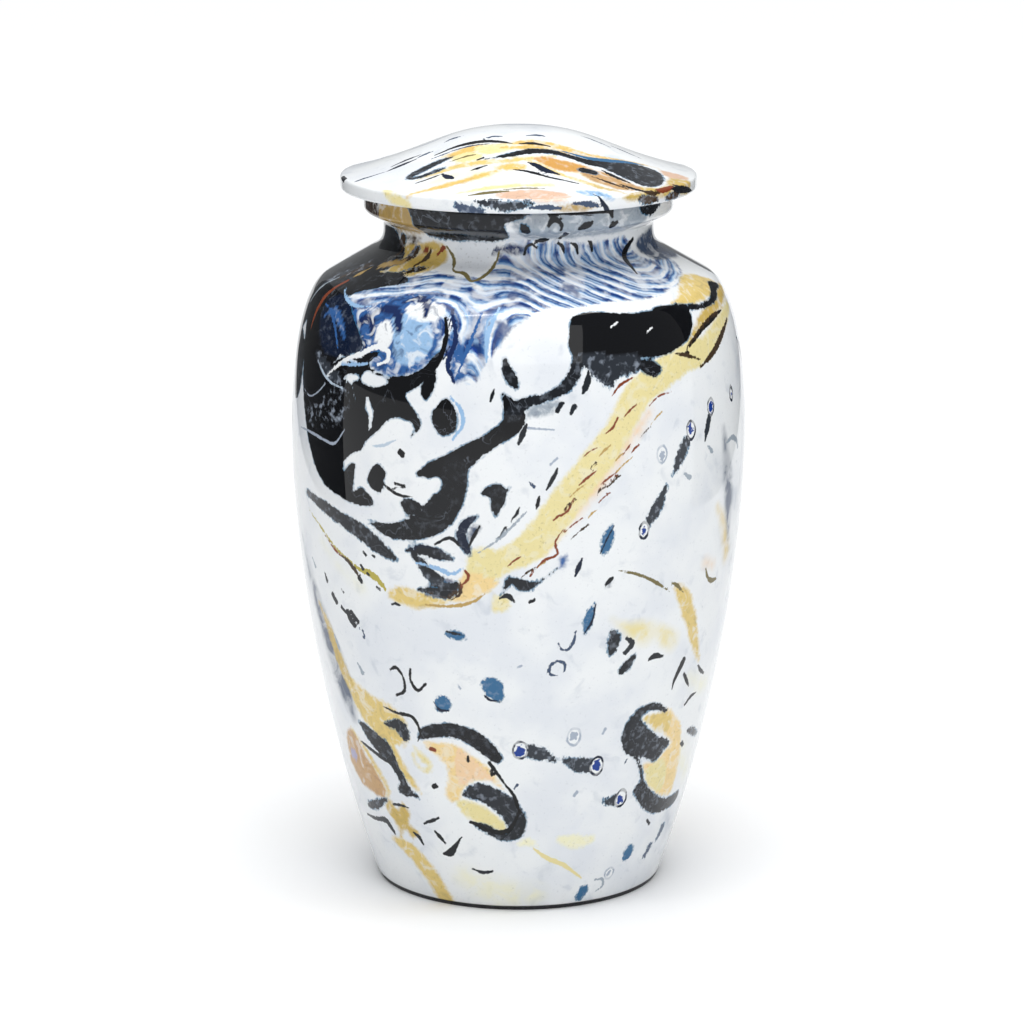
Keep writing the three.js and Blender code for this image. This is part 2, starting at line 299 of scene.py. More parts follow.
    (0.3, [(52, 234.5, 1.8), (57, 234, 2.6), (63, 235, 1.6)]),
    # Wisps
    (0.5, [(17.7, 187.5, 0.4), (17.2, 184, 1.2), (16.1, 181, 0.5)],
        [(60, 81, 0.3), (62.5, 78.5, 0.8), (65, 76.8, 0.4)]),
    (0.4, [(1.9, 171.3, 0.2), (1.1, 168.5, 1), (0.1, 165.6, 0.5)],
        [(9.6, 175.5, 0.6), (10.3, 177.3, 0.8), (11, 178, 0.3)]),
    (0.2, [(-5.9, 182.6, 0.2), (-6.5, 180.6, 0.7), (-6.8, 179, 0.3)]),
    (0.6, [(12.9, 174.8, 0.5), (13.6, 176.5, 0.9)]),
    (0.3, [(6.8, 150.3, 0.2), (7.7, 152.3, 0.6), (8.8, 154.8, 0.7), (9.4, 157, 0.2)]),
    (0.1, [(4.3, 144, 0.2), (4.7, 146, 0.7), (5, 147.8, 0.3)]),
    # Dashes
    (0.2, [(51.5, 85, 1.1), (50, 82, 1.1), (48.6, 78.5, 0.7), (48.2, 75.8, 0.2)],
        [(52.8, 80, 0.6), (54.5, 77.5, 0.8), (56.3, 75, 0.3)]),
    (0.3, [(28.2, 85.2, 0.7), (30, 87.8, 1.6), (32.8, 91.2, 0.5)],
        [(37.5, 88.8, 0.5), (39.5, 89.6, 1), (42.5, 88.7, 0.4)],
        [(56.5, 68.3, 0.5), (59, 70.3, 0.8), (61.8, 70.8, 0.3)]),
    (0.4, [(24.6, 101, 0.4), (25.8, 98, 2.2), (25.3, 94.5, 1.4), (24.9, 92.6, 0.4)]),
    (0.6, [(29.5, 97.5, 0.6), (31.3, 95.5, 1.2), (29.5, 92.8, 0.8)]),
    (0.5, [(59.6, 53.5, 0.9), (60.4, 52.7, 0.8)], [(62, 57.5, 0.6), (66, 56, 1.4), (71, 53.5, 0.8)],
        [(49.5, 27.8, 0.5), (51, 26.4, 0.7)]),
    # Grains
    (0.4, [(-60.3, 113, 0.5), (-59.6, 111, 0.8)], [(-53.5, 103, 0.6), (-52.2, 101.9, 0.6)],
        [(-34.2, 108.6, 0.4), (-33, 109, 0.6), (-31.8, 108.6, 0.3)],
        [(-18.6, 101.4, 0.3), (-16.5, 101, 0.5), (-14.6, 100.6, 0.3)]),
    (0.3, [(-57.2, 106.3, 1), (-56, 104.6, 0.9)], [(-51, 102, 1), (-50, 99.5, 1.2), (-48.8, 98, 0.7)],
        [(-49.2, 102.3, 0.9), (-47.3, 100, 0.8)]),
    (0.2, [(-45, 115.7, 1), (-44.2, 114.5, 0.9)], [(-43.6, 119.8, 0.6), (-43.2, 119, 0.7)]),
    # Tails of the drops
    (("charcoal", 0.7), [(45.9, 161.4, 1.6), (43.7, 157, 2), (41, 151, 0.4)],
        [(55, 167, 1.2), (54, 163.5, 1.3), (53, 160, 0.3)],
        [(34, 137, 1.5), (36.4, 141.5, 2), (39, 147.6, 0.4)],
        [(2.4, 60.4, 2.2), (6, 59.2, 2.2), (11, 56.6, 0.6)],
        [(22, 53.4, 2.6), (18, 54.2, 2.4), (13, 56.6, 0.6)]),
    (("charcoal", 0.9), [(33, 39.4, 2.2), (30, 39, 1.5), (27.2, 40, 0.4)]),
]

# Patches taken out of the black
VESSEL_CUTS = [
    [(-23.5, 149.5), (-22, 152.8), (-19.5, 153.5), (-18.6, 151), (-20, 148.3), (-22, 147.8)],
    [(-49.5, 181), (-47, 183.2), (-43.5, 183), (-44.5, 181.2), (-46, 180.4), (-45, 176), (-44, 173),
        (-44.8, 176), (-46.8, 179.8)],
    [(-43.4, 181.4), (-42, 184.8), (-38.4, 184.4), (-33.6, 182.8), (-36.4, 180.8), (-40, 180.2)],
    [(-40.5, 177), (-38.8, 174), (-38.2, 171), (-39.5, 166), (-39.8, 170), (-41, 173.5)],
]

VESSEL_LINES = [
    # Edges of leaves
    ("deep", [(20.6, 128, 0.2), (22, 132, 0.4), (24, 136.8, 0.2)],
        [(17.2, 101, 0.2), (19.2, 105, 0.4), (19.8, 110.6, 0.2)],
        [(-9.4, 80, 0.2), (-8, 78.4, 0.5), (-5, 77.8, 0.3)],
        [(-24, 76, 0.2), (-22.6, 73.6, 0.5), (-20, 73.4, 0.3)]),
    # Rim of the grey below the neck
    ("olive", [(-31, 222.6, 0.2), (-27, 219, 0.6), (-25, 216, 0.4), (-20, 215.4, 0.8), (-16, 213.6, 0.4),
        (-11.6, 215.6, 0.7), (-9, 219, 0.4), (-8, 222, 0.2)]),
    # Gleams on the bar
    ("white", [(25.2, 200.8, 0.15), (26, 201.3, 0.35), (27, 201.9, 0.15)],
        [(35.6, 198, 0.15), (36.6, 198.6, 0.35), (37.6, 199.1, 0.15)]),
    # Flecks
    ("mist", [(25, 65, 0.4), (25.4, 66, 0.5)], [(17.6, 43, 0.4), (18.2, 44, 0.5)],
        [(-0.4, 90, 0.3), (0.6, 90.4, 0.4)], [(-16.4, 82.6, 0.4), (-15.8, 81.8, 0.4)],
        [(1.6, 170.4, 0.3), (8.4, 169.6, 0.3)], [(7.8, 158.6, 0.3), (9.2, 160.2, 0.4)]),
    ("slate", [(-1.2, 46.6, 0.3), (-0.6, 47.6, 0.4)], [(33.8, 52.6, 0.4), (34.4, 53.6, 0.3)],
        [(-46.6, 97.4, 0.2), (-45.6, 96.8, 0.4), (-45, 94.6, 0.3), (-45.8, 94.4, 0.2)],
        [(2.6, 152.8, 0.2), (3.6, 151.4, 0.6)]),
    # Light lines
    ("mist", [(-71, 160, 0.2), (-65, 160.3, 0.4), (-58, 159.6, 0.45), (-52, 159.2, 0.4), (-48, 164.5, 0.2)],
        [(-73, 175.5, 0.1), (-66, 172, 0.25), (-61, 174, 0.3), (-57, 178, 0.1)]),
    ("light", [(-62, 184, 0.2), (-58, 180.5, 0.5), (-54, 178.5, 0.4), (-50, 178, 0.2)],
        [(-38.5, 161, 0.2), (-35, 161.8, 0.5), (-31.5, 164, 0.2)]),
    # Hook
    ("white", [(-56.5, 181, 0.3), (-50, 186.8, 0.7), (-44, 190, 0.8), (-39, 193, 0.9), (-35.4, 192, 0.8),
        (-35, 189.2, 0.7), (-38, 187.6, 0.3)]),
    # Blue threads
    ("sky", [(-53, 185, 0.2), (-47, 186, 0.5), (-41, 187.3, 0.3)],
        [(-62, 208, 0.2), (-57, 205.4, 0.5), (-51, 204, 0.6), (-45, 204.6, 0.2)]),
    ("blue", [(-66, 202, 0.2), (-61, 200.4, 0.5), (-56, 195, 0.5), (-53.4, 189.5, 0.2)]),
    # Navy lines
    ("navy", [(-18.5, 206, 0.4), (-16.4, 198, 0.8), (-18, 190, 0.8), (-16, 184, 0.3)]),
    ("blue", [(-10, 206, 0.3), (-13, 195, 0.7), (-15, 188, 0.3)]),
    ("black", [(-20, 203.5, 0.4), (-19, 199, 0.8), (-20, 192, 0.9), (-22, 187, 0.4)]),
    ("sky", [(-5.5, 207, 0.3), (-8, 199, 0.8), (-8, 191, 0.3)]),
    # Crescent
    ("sky", [(-16.8, 179.5, 0.3), (-14, 175.5, 0.6), (-13.6, 171, 0.6), (-16, 166.3, 0.3)]),
    # Jagged rust lines
    ("rust", [(16, 160.6, 0.12), (17.6, 162.2, 0.36), (19.6, 163.2, 0.12)],
        [(26, 159.8, 0.12), (27, 161.4, 0.3), (28.2, 163.2, 0.12)],
        [(20, 150.8, 0.12), (22, 152.6, 0.42), (24.3, 154.4, 0.12)],
        [(21.8, 167.6, 0.18), (23.6, 169.4, 0.48), (25, 172.4, 0.18)],
        [(23.6, 179.4, 0.12), (26, 182.6, 0.48), (29.4, 184.4, 0.18)],
        [(34, 175, 0.12), (37, 177.5, 0.3), (41, 178.2, 0.12)],
        [(9, 140.5, 0.12), (12, 143, 0.36), (13.4, 147, 0.12)]),
    # Under those
    ("rust", [(3, 121.6, 0.18), (6, 126.4, 0.36), (9.6, 128.6, 0.42), (9, 132.6, 0.36), (11, 137, 0.12)]),
    # Olive lines
    ("moss", [(-67, 133.4, 0.2), (-60, 129, 0.4), (-54, 124, 0.5), (-49, 121, 0.5), (-45, 118.6, 0.6),
        (-41.6, 118, 1.2), (-38.4, 116.4, 1.1), (-36, 113.4, 0.4)]),
    # End of the olive lines
    ("ochre", [(-24, 110, 0.3), (-17, 110.4, 0.6), (-12, 112, 0.5), (-8.6, 115, 0.2)]),
    # Olive rust
    ("rust", [(-58, 126.6, 0.2), (-54, 123, 0.5), (-51.4, 121.4, 0.2)]),
    # Foot rust
    ("rust", [(-14, 118, 0.2), (-12.4, 120.6, 0.6), (-13.4, 123, 0.3)]),
    # Foot umber
    ("umber", [(-17, 112.6, 0.2), (-14.6, 115, 0.6), (-15, 118, 0.3)]),
    # Olive dark
    ("umber", [(-52, 122, 0.2), (-48.6, 120.2, 0.7), (-46, 117.6, 0.8), (-44.6, 115.4, 0.2)]),
    # Rings
    ("slate", [(8.2, 88, 0.3), (8.4, 90.4, 0.5), (10.4, 91.8, 0.5), (12.4, 90.6, 0.5), (12.2, 88.2, 0.3)],
        [(10.2, 86.8, 0.2), (8.8, 87, 0.5), (7.8, 87.6, 0.3)]),
    # Line at a blot
    ("sky", [(-26, 124, 0.3), (-21, 123, 0.8), (-17, 121.4, 0.7), (-14, 123.4, 0.3)]),
    # Olive low
    ("olive", [(26, 121.4, 0.2), (31, 119.5, 0.5), (36, 116.4, 0.6), (42, 111.6, 0.2)]),
    # Olive right
    ("olive", [(42.6, 114.4, 0.3), (45, 112.6, 0.7), (47.4, 110, 0.3)]),
    # Olive fine
    ("straw", [(5, 24, 0.3), (10, 20, 0.8), (16, 17, 0.8), (24, 11, 0.3)]),
    # Hook on the right
    ("olive", [(56.6, 115.6, 0.3), (58, 112.4, 0.8), (60.4, 110.6, 0.9), (63.6, 110.4, 0.3)]),
    # Brown lines
    ("umber", [(49, 191.6, 0.3), (56, 195.6, 0.9), (63, 198.2, 0.9), (70, 199, 0.3)],
        [(44, 190, 0.3), (48, 188.8, 0.7), (53, 186.6, 0.3)],
        [(53, 184, 0.3), (60, 187.6, 1.1), (67, 192, 1.1), (74, 195.6, 0.4)]),
    # Arches
    ("grey", [(-80, 200, 0.3), (-77, 205, 0.6), (-73, 209, 0.3)]),
    # Outline of the form low in the middle
    ("black", [(-8.4, 55.4, 0.6), (-5, 49.4, 0.5), (-1.4, 43.6, 0.6), (0.2, 38, 0.6)]),
    # Outline of the gold form
    ("black", [(-41.4, 71.2, 0.3), (-37, 70, 0.6), (-31.4, 69.4, 0.7), (-29.4, 64.4, 0.5),
        (-30.6, 61, 0.2)]),
    # Outline of the gap in the middle
    ("black", [(-15.6, 33.2, 0.6), (-8, 30.2, 0.9), (-3, 31, 0.9), (0, 37, 0.5)]),
    # Rings
    ("black", [(-37, 85.2, 0.4), (-35, 86.4, 0.6), (-33, 83.4, 0.5), (-33, 78.6, 0.6), (-36, 76.4, 0.4)],
        [(-30.4, 86.4, 0.4), (-30.6, 82.6, 0.5), (-28.6, 79.4, 0.6), (-26, 82.2, 0.4)]),
    ("slate", [(10.4, 97.8, 0.2), (11.4, 95.8, 0.4), (13.2, 95.9, 0.5), (14.4, 98.4, 0.5),
        (14.8, 101.6, 0.3)]),
    ("grey", [(30.4, 9.4, 0.3), (33.4, 9.2, 0.5), (34, 6.4, 0.5), (31.4, 4.8, 0.3)]),
    # Dots
    ("black", [(-36.4, 150, 0.3), (-31, 146.4, 0.5), (-26.6, 146, 0.3)],
        [(-31.4, 149.8, 0.5), (-29, 149.4, 0.5)]),
    # Faint lines
    ("grey", [(-67.6, 116, 0.3), (-66.4, 114, 0.7)],
        [(-59.6, 91.6, 0.3), (-58.4, 88.4, 0.9), (-58, 86.6, 0.3)], [(-49.6, 84.4, 0.4), (-48.2, 82, 0.9)],
        [(64, 156.6, 0.4), (68, 157.4, 0.9), (71.4, 155.4, 0.9), (72.4, 153, 0.4)],
        [(54.4, 157.6, 0.4), (56, 155.8, 0.8)], [(45, 150.6, 0.3), (46.8, 149, 0.9)]),
    # Outline of the yellow band
    ("grey", [(2, 143, 0.2), (-2.4, 137, 0.5), (-5.6, 133, 0.4), (-10, 129, 0.2)]),
]

VESSEL_UNDER = [
    # Gold form low on the left
    ("honey", [(-55, 79), (-50, 76.6), (-44, 74), (-38, 72.4), (-34.6, 68), (-34, 62), (-37, 58), (-41, 58),
        (-45, 62), (-50, 68), (-55, 74)]),
    # Gold at the sides
    ("honey", [(-97, 134, 0.6), (-91.6, 120, 2.8), (-88, 103, 3.4), (-86.4, 86, 2.6), (-87, 70, 0.5)]),
    ("gold", [(-93, 46, 0.4), (-89, 40, 2.2), (-84, 36.6, 1.8), (-80, 30, 0.4)]),
    # Side of the round blue area
    ("navy", [(-64, 190), (-60, 200), (-54, 204.4), (-47, 203), (-44, 198), (-50, 194), (-55, 187)]),
    # Grey below the neck
    ("ice", [(-27, 223), (-18, 226), (-9, 226), (-8, 221), (-12, 216.6), (-18, 214.6), (-25, 217)]),
    # Gold at the left of the neck
    ("gold", [(-58, 213), (-52, 217), (-44, 223), (-34, 224), (-29, 219), (-36, 214.6), (-47, 212)]),
    # Round blue area on the left shoulder
    ("blue", [(-60, 189), (-57, 196), (-53, 201), (-47, 205), (-40, 207.6), (-33, 209.4), (-26, 209.4),
        (-22, 205), (-20.4, 198), (-21.5, 192), (-25, 187.4), (-30, 184.6), (-35, 184.4), (-40, 187),
        (-45, 189.6), (-52, 188.4)]),
    # Its dark part
    ("navy", [(-60, 189), (-58, 196), (-53, 199.6), (-48, 198.6), (-44, 194.6), (-42.6, 191), (-50, 189)]),
    # Its pale part
    ("sky", [(-36, 203), (-30, 205), (-25, 203), (-22.6, 197), (-24.6, 191), (-31, 188), (-33.6, 192),
        (-34.6, 198)]),
    # White in it
    ("white", [(-40, 194.6), (-40, 199.4), (-37, 201.6), (-34.6, 197), (-36, 192.4)]),
    # Gleam on it
    ("white", [(-33, 206), (-28, 207.4), (-22, 207.6), (-20, 204.6), (-24, 202.6), (-30, 203.4)]),
    # Navy arcs on it
    ("navy", [(-47.8, 196.4, 0.7), (-46.4, 200, 1.6), (-43, 200.4, 1.7), (-41.2, 196, 0.8)],
        [(-43, 203, 0.5), (-38.4, 205, 1.6), (-34.6, 203.4, 1.8), (-33, 198.4, 0.9)],
        [(-35, 207, 0.4), (-30.4, 208.4, 1.4), (-26.6, 207, 1.4), (-26, 203.6, 0.5)]),
    # Blue tongue beside it
    ("blue", [(-19.4, 198), (-17.4, 192), (-17.6, 187.4), (-16, 183.6), (-13.6, 185.4), (-12.6, 190.6),
        (-14, 195.6), (-17, 199.6)]),
    # Yellow band across the front
    ("straw", [(57, 192, 1.5), (51, 189.5, 4.5), (45, 187.3, 5.2), (39, 184.6, 5.4), (33, 181, 5.6),
        (29, 176, 5.4), (26, 170, 5.4), (22, 163, 5.6), (17, 155, 6), (12, 147, 6), (8, 139, 6),
        (3, 131.5, 5.6), (-3, 127, 4.6), (-8, 125, 3)]),
    # Its lower end
    ("straw", [(-14, 119.6), (-13.4, 124), (-12.4, 128.6), (-9, 131.8), (-4, 129), (-2, 124), (-5, 120),
        (-9, 118.6)]),
    # Its foot
    ("apricot", [(-20, 111.6), (-16.4, 116), (-14.4, 121), (-11, 122), (-5, 119), (-8, 115), (-13, 112)]),
    # Strip at the right of the black bar
    ("honey", [(46, 204.8), (52, 206.8), (58, 209.4), (66, 211), (74, 210), (81, 206.4), (77, 203.8),
        (66, 203.6), (56, 203.2)]),
    # Gold below it
    ("gold", [(50, 193.6, 0.8), (57, 197.6, 2.4), (65, 200.8, 3), (74, 203, 3.4), (84, 204, 2)]),
    # Yellow below that
    ("straw", [(43, 186.5, 3), (50, 187.2, 4), (57, 189.6, 4.2), (64, 193.4, 4), (72, 196.6, 3),
        (80, 199, 2)]),
    # Grey under the arm
    ("grey", [(-4, 170.5), (-3.4, 176), (-1, 179.4), (1.2, 178.6), (1.4, 173.6), (-0.6, 170)]),
    # Brushed grey beside it
    ("grey", [(1.6, 173.6), (3, 178), (7, 179), (11, 178.6), (9.4, 175.6), (5.4, 173.4)]),
    # Gold patch
    ("honey", [(-36, 112), (-33, 115), (-28, 115.4), (-22, 113.6), (-17, 112.8), (-18, 110.4), (-24, 108.4),
        (-30, 108.2), (-34, 109.6)]),
    # Outlined patch
    ("straw", [(-7.4, 110.4), (-6.4, 114.6), (-3.4, 115.4), (-1.8, 112), (-3.4, 109), (-6, 108.8)]),
    # Ochre on the left
    ("gold", [(-67, 101, 1), (-63, 95, 2.2), (-60.4, 88, 3), (-58, 81, 3), (-55.4, 75, 2.6),
        (-53, 69.6, 0.6)]),
    # Ochre on the right
    ("honey", [(43.6, 113, 0.8), (46.6, 110, 3), (50, 104, 3.6), (53.6, 96, 3.2), (57, 88, 2.2),
        (60, 83, 1)]),
    # Top of the gold form
    ("honey", [(-57, 77, 0.8), (-54, 72, 2.6), (-50, 67, 3.6), (-45, 62.6, 3.8), (-41.6, 57, 3),
        (-38.6, 51, 2.4), (-35.4, 45.6, 1.8), (-32, 41.6, 0.6)]),
    # Gold arch over it
    ("honey", [(-50, 73.6, 1), (-45, 72, 2.6), (-39.6, 70.6, 2.4), (-35.6, 67.4, 2), (-34.4, 62.6, 1.4),
        (-36, 58, 0.6)]),
    # Peach of the form low in the middle
    ("apricot", [(-28, 61.8), (-18.6, 61.6), (-14.2, 58.8), (-8.4, 53.6), (-5.6, 49.4), (-4, 45),
        (-9, 48.4), (-14, 48), (-17.6, 44), (-19, 40.4), (-22.4, 40), (-23.6, 44), (-22.6, 48), (-21.6, 52),
        (-24.6, 56), (-28, 58.6)]),
    # Its left edge
    ("peach", [(-18, 60), (-13.6, 57), (-8.6, 51.6), (-7.6, 48.6), (-13, 49), (-18, 47), (-19, 53)]),
    # Its lower edge
    ("straw", [(-19, 37), (-15, 33.4), (-7, 29.8), (-3.4, 31), (-5.6, 35.6), (-10.7, 39.6), (-16, 41.6),
        (-20.4, 40.4)]),
    # Yellow ring
    ("straw", [(-32, 58.6, 0.8), (-29.6, 55.4, 1.7), (-27.4, 52.6, 1.4), (-29.6, 50.6, 1),
        (-32.6, 52.6, 0.8), (-33, 56, 0.6)]),
    # Ochre patch
    ("tan", [(-67, 44), (-66.4, 52), (-63, 58), (-58, 57.6), (-54, 50.6), (-49.4, 45), (-46.8, 38.6),
        (-50, 35.4), (-56, 36.6), (-62, 38)]),
    # Ochre edge
    ("honey", [(-60, 59, 0.6), (-54, 53, 1.3), (-49.6, 46.6, 1.6), (-46.4, 40, 1.3), (-49, 35, 0.6)]),
    # Ochre spot
    ("lilac", [(-65, 47.4), (-63.4, 51), (-60.6, 50), (-61.4, 46.4)]),
    # Gold chunk
    ("gold", [(-50, 33), (-46.4, 37), (-44, 34), (-41, 37), (-37.6, 33), (-39.4, 29), (-35.6, 26),
        (-39.4, 22.6), (-42, 25.6), (-45.6, 21.6), (-46.4, 27)]),
    # Gold streak
    ("honey", [(-50, 21, 1.5), (-44, 19.4, 3.2), (-39, 16, 3.8), (-34.6, 10, 3.8), (-30, 2, 3.2)]),
    # Peach of the form low on the right
    ("apricot", [(47, 69.4), (52, 66.4), (57, 60), (60, 51), (61.4, 42), (60.6, 35), (54, 35.6),
        (47.6, 39.4), (43, 44.6), (41.4, 51), (46, 51), (51.6, 55), (49, 59), (44, 62), (40.4, 66)]),
    # Its top
    ("honey", [(37, 67.6), (41, 69), (46, 68.6), (50, 66), (50, 61), (46, 60.6), (41, 64)]),
    # Its yellow
    ("straw", [(42.4, 46), (46, 50), (50.6, 50), (54, 44), (53, 38), (48, 39.6)]),
    # Low yellow
    ("cream", [(14, 27, 1.5), (19, 25.4, 3.2), (25, 25.6, 2)]),
    # Low cream
    ("cream", [(0, 25.6, 1), (3, 26.4, 2), (6, 25, 1)]),
    # Gold on the shoulder
    ("gold", [(-63, 215.4), (-60, 220), (-52, 222.6), (-43, 223), (-38.4, 220), (-41, 216.4), (-47, 214.4),
        (-56, 213.4)]),
    # Gold on the neck
    ("ochre", [(-64, 225.6), (-62, 234.8), (-50, 236), (-41.6, 235), (-41.6, 226.4), (-52, 225)]),
    # Brown on the neck
    ("umber", [(-86, 220), (-84, 236), (-64, 236), (-62, 226), (-45, 225), (-47, 222.4), (-62, 222.2),
        (-75, 220)]),
    # Grey under the lip
    ("grey", [(2, 226.8), (2, 238), (51, 238), (51, 227), (30, 226)]),
    # Navy on the neck
    ("navy", [(-11, 220.6), (-8, 224), (2, 224.4), (4, 222.4), (-2, 220.6)]),
    # Navy at the right
    ("slate", [(58, 221), (62, 216), (72, 214.6), (88, 214.6), (88, 224), (66, 224.4)]),
    # Red spots
    ("rust", [(-50, 219), (-48, 221.6), (-46.4, 220.4), (-47.8, 218.4)],
        [(-43, 220), (-41.6, 222), (-40.2, 220.8), (-41.8, 219.4)]),
    # Leaves
    ("blue", [(9.6, 124), (10, 127.6), (12, 128.6), (12.4, 126), (11, 123.4)]),
    ("slate", [(-9, 137.6), (-10.6, 134), (-13.6, 131), (-13, 135.4), (-11, 138.6)],
        [(22.2, 116.2), (22.8, 118.6), (24.2, 118), (23.8, 115.8)]),
    ("navy", [(-24, 113.6), (-22, 119), (-17.4, 120), (-15, 116.6), (-18, 113)]),
]

# Drops are (azimuth, height, half width, half height), the last two in mm. They have a dark ring and a
# blue heart, and the pale ones are grey.
VESSEL_DROPS = [
    (47.5, 164.5, 2.4, 3.5), (56, 170.5, 2.2, 3.2), (32.5, 134, 2.2, 3.2), (68, 172, 1.8, 3),
    (0.5, 60.5, 2.7, 3.6), (24, 53, 2.6, 3.8), (34.5, 39.5, 2.5, 3.6),
]
VESSEL_PALE_DROPS = [
    (37.5, 158.5, 2.4, 3.2), (16, 64.5, 2.6, 3.6), (36, 11, 2.2, 2.6),
]

# Washes are soft ribbons: a colour, how strong, how soft in mm, and the strokes. Some of them are painted
# shade on the flanks.
VESSEL_WASHES = [
    # Peach side
    ("peach", 0.9, 4, [(34, 173, 1.5), (28.6, 165, 2), (23, 157, 2.6), (17.4, 148, 2.6), (11.6, 139, 2.2),
        (6, 130, 1.6)]),
    # Blue grey
    ("mist", 0.6, 8, [(58, 151, 3), (66, 143, 5), (72, 134, 5)]),
    # Blue low
    ("slate", 0.35, 7, [(62, 127, 1), (68, 120, 4), (74, 114, 3)]),
    # Lime
    ("honey", 0.8, 4, [(60, 136, 1), (65, 128, 3), (69, 117, 3)]),
    # Painted shade down the left flank, a soft slate band
    ("slate", 0.95, 4, [(-76, 122, 0.8), (-70.6, 108, 3), (-65.6, 94, 5), (-61.4, 82, 6.4), (-59, 72, 5),
        (-57, 64, 2)]),
    # Painted shade down the right flank, a dark slate streak
    ("slate", 0.9, 3, [(62, 162, 0.8), (64, 152, 3), (66, 142, 3.8), (67.6, 132, 3.2), (69, 123, 1.2)]),
    # Painted shade along the right edge, a faint mist
    ("mist", 0.35, 6, [(74, 190, 1), (78, 170, 3), (78, 150, 3), (76, 130, 2)]),
    # Blush
    ("peach", 0.5, 4, [(56, 118, 2), (60, 116, 2)]),
    # Pale band
    ("straw", 1, 4, [(24.6, 105, 0.4), (29, 101.6, 1.6), (34.6, 98.6, 4.4), (39, 98, 3), (45, 93.6, 3.6)]),
    # Painted shade high on the left flank, a faint mist
    ("mist", 0.25, 9, [(-76, 128, 2), (-72, 118, 5), (-74, 104, 4)]),
    # Under limb
    ("ice", 0.8, 7, [(-8, 178, 4), (-14, 173, 6), (-22, 166, 5), (-14, 184, 4)]),
    # Haze
    ("ice", 0.9, 9, [(-34, 104, 6), (-20, 96, 7), (-6, 92, 6), (8, 84, 5)]),
    ("ice", 0.8, 9, [(-16, 76, 4), (0, 72, 5), (20, 74, 7), (34, 78, 5)]),
    ("ice", 0.8, 8, [(6, 40, 6), (14, 34, 8), (24, 34, 6)], [(36, 124, 4), (48, 134, 6), (56, 146, 5)],
        [(-56, 120, 3), (-46, 128, 3), (-54, 112, 4)]),
    ("cream", 0.7, 7, [(-20, 12, 4), (-8, 7, 6), (6, 6, 4)]),
    ("cream", 0.7, 8, [(58, 52, 3), (64, 46, 4), (70, 40, 3)]),
    ("mist", 0.5, 6, [(62, 27, 3), (68, 22, 4)]),
    ("cream", 0.6, 5, [(56, 78, 2), (62, 74, 3), (68, 72, 3)]),
    ("ice", 0.7, 8, [(2, 160, 5), (8, 166, 6), (12, 172, 5)]),
    ("cream", 0.5, 6, [(-60, 124, 1), (-52, 117, 2), (-44, 112, 2)]),
]

# Outline of the combed bands, and the line and the place that they run round
SWIRL = [
    (-66, 212), (-60, 206), (-55, 201), (-50, 196), (-46, 191.5), (-41, 187), (-35, 184), (-29, 185),
    (-24, 188), (-20, 192), (-16, 186), (-11, 184), (-8, 190), (-4, 197), (0, 202), (6, 206), (16, 207),
    (28, 207.5), (40, 207.4), (52, 208.6), (62, 210), (72, 212.4), (74, 215), (66, 216), (58, 217),
    (54, 221), (52, 224.4), (40, 224.4), (24, 224.4), (4, 226), (-4, 226), (-8, 221), (-12, 216),
    (-20, 214.4), (-32, 215.4), (-40, 214), (-50, 213.5),
]
SWIRL_LEFT = [(-74, 186), (-24, 200)]
SWIRL_RIGHT = (53, 224)
SWIRL_TURN = (-14, 4)  # azimuths between which the bands go over from the one to the other
SWIRL_REACH = 76
BAND_PERIOD = 4.6
THREAD_PERIOD = BAND_PERIOD * 0.37

# Short slanting dashes of rust and brown along the two edges of the yellow band
BAND_DASHES = [
    (9.6, 141), (12.6, 145), (14.4, 149.4), (17, 153.4), (18.6, 157.6), (21.4, 162), (28.4, 174),
    (15, 135.6), (18.4, 141.6), (21.4, 146.6), (24, 151.8), (26.4, 156.6), (29.6, 161.6), (32.6, 166.6),
    (36, 170.6), (13.4, 138), (20.4, 149), (25.4, 159.6), (-1, 126.4), (2.4, 122.6), (5.6, 125.2),
]

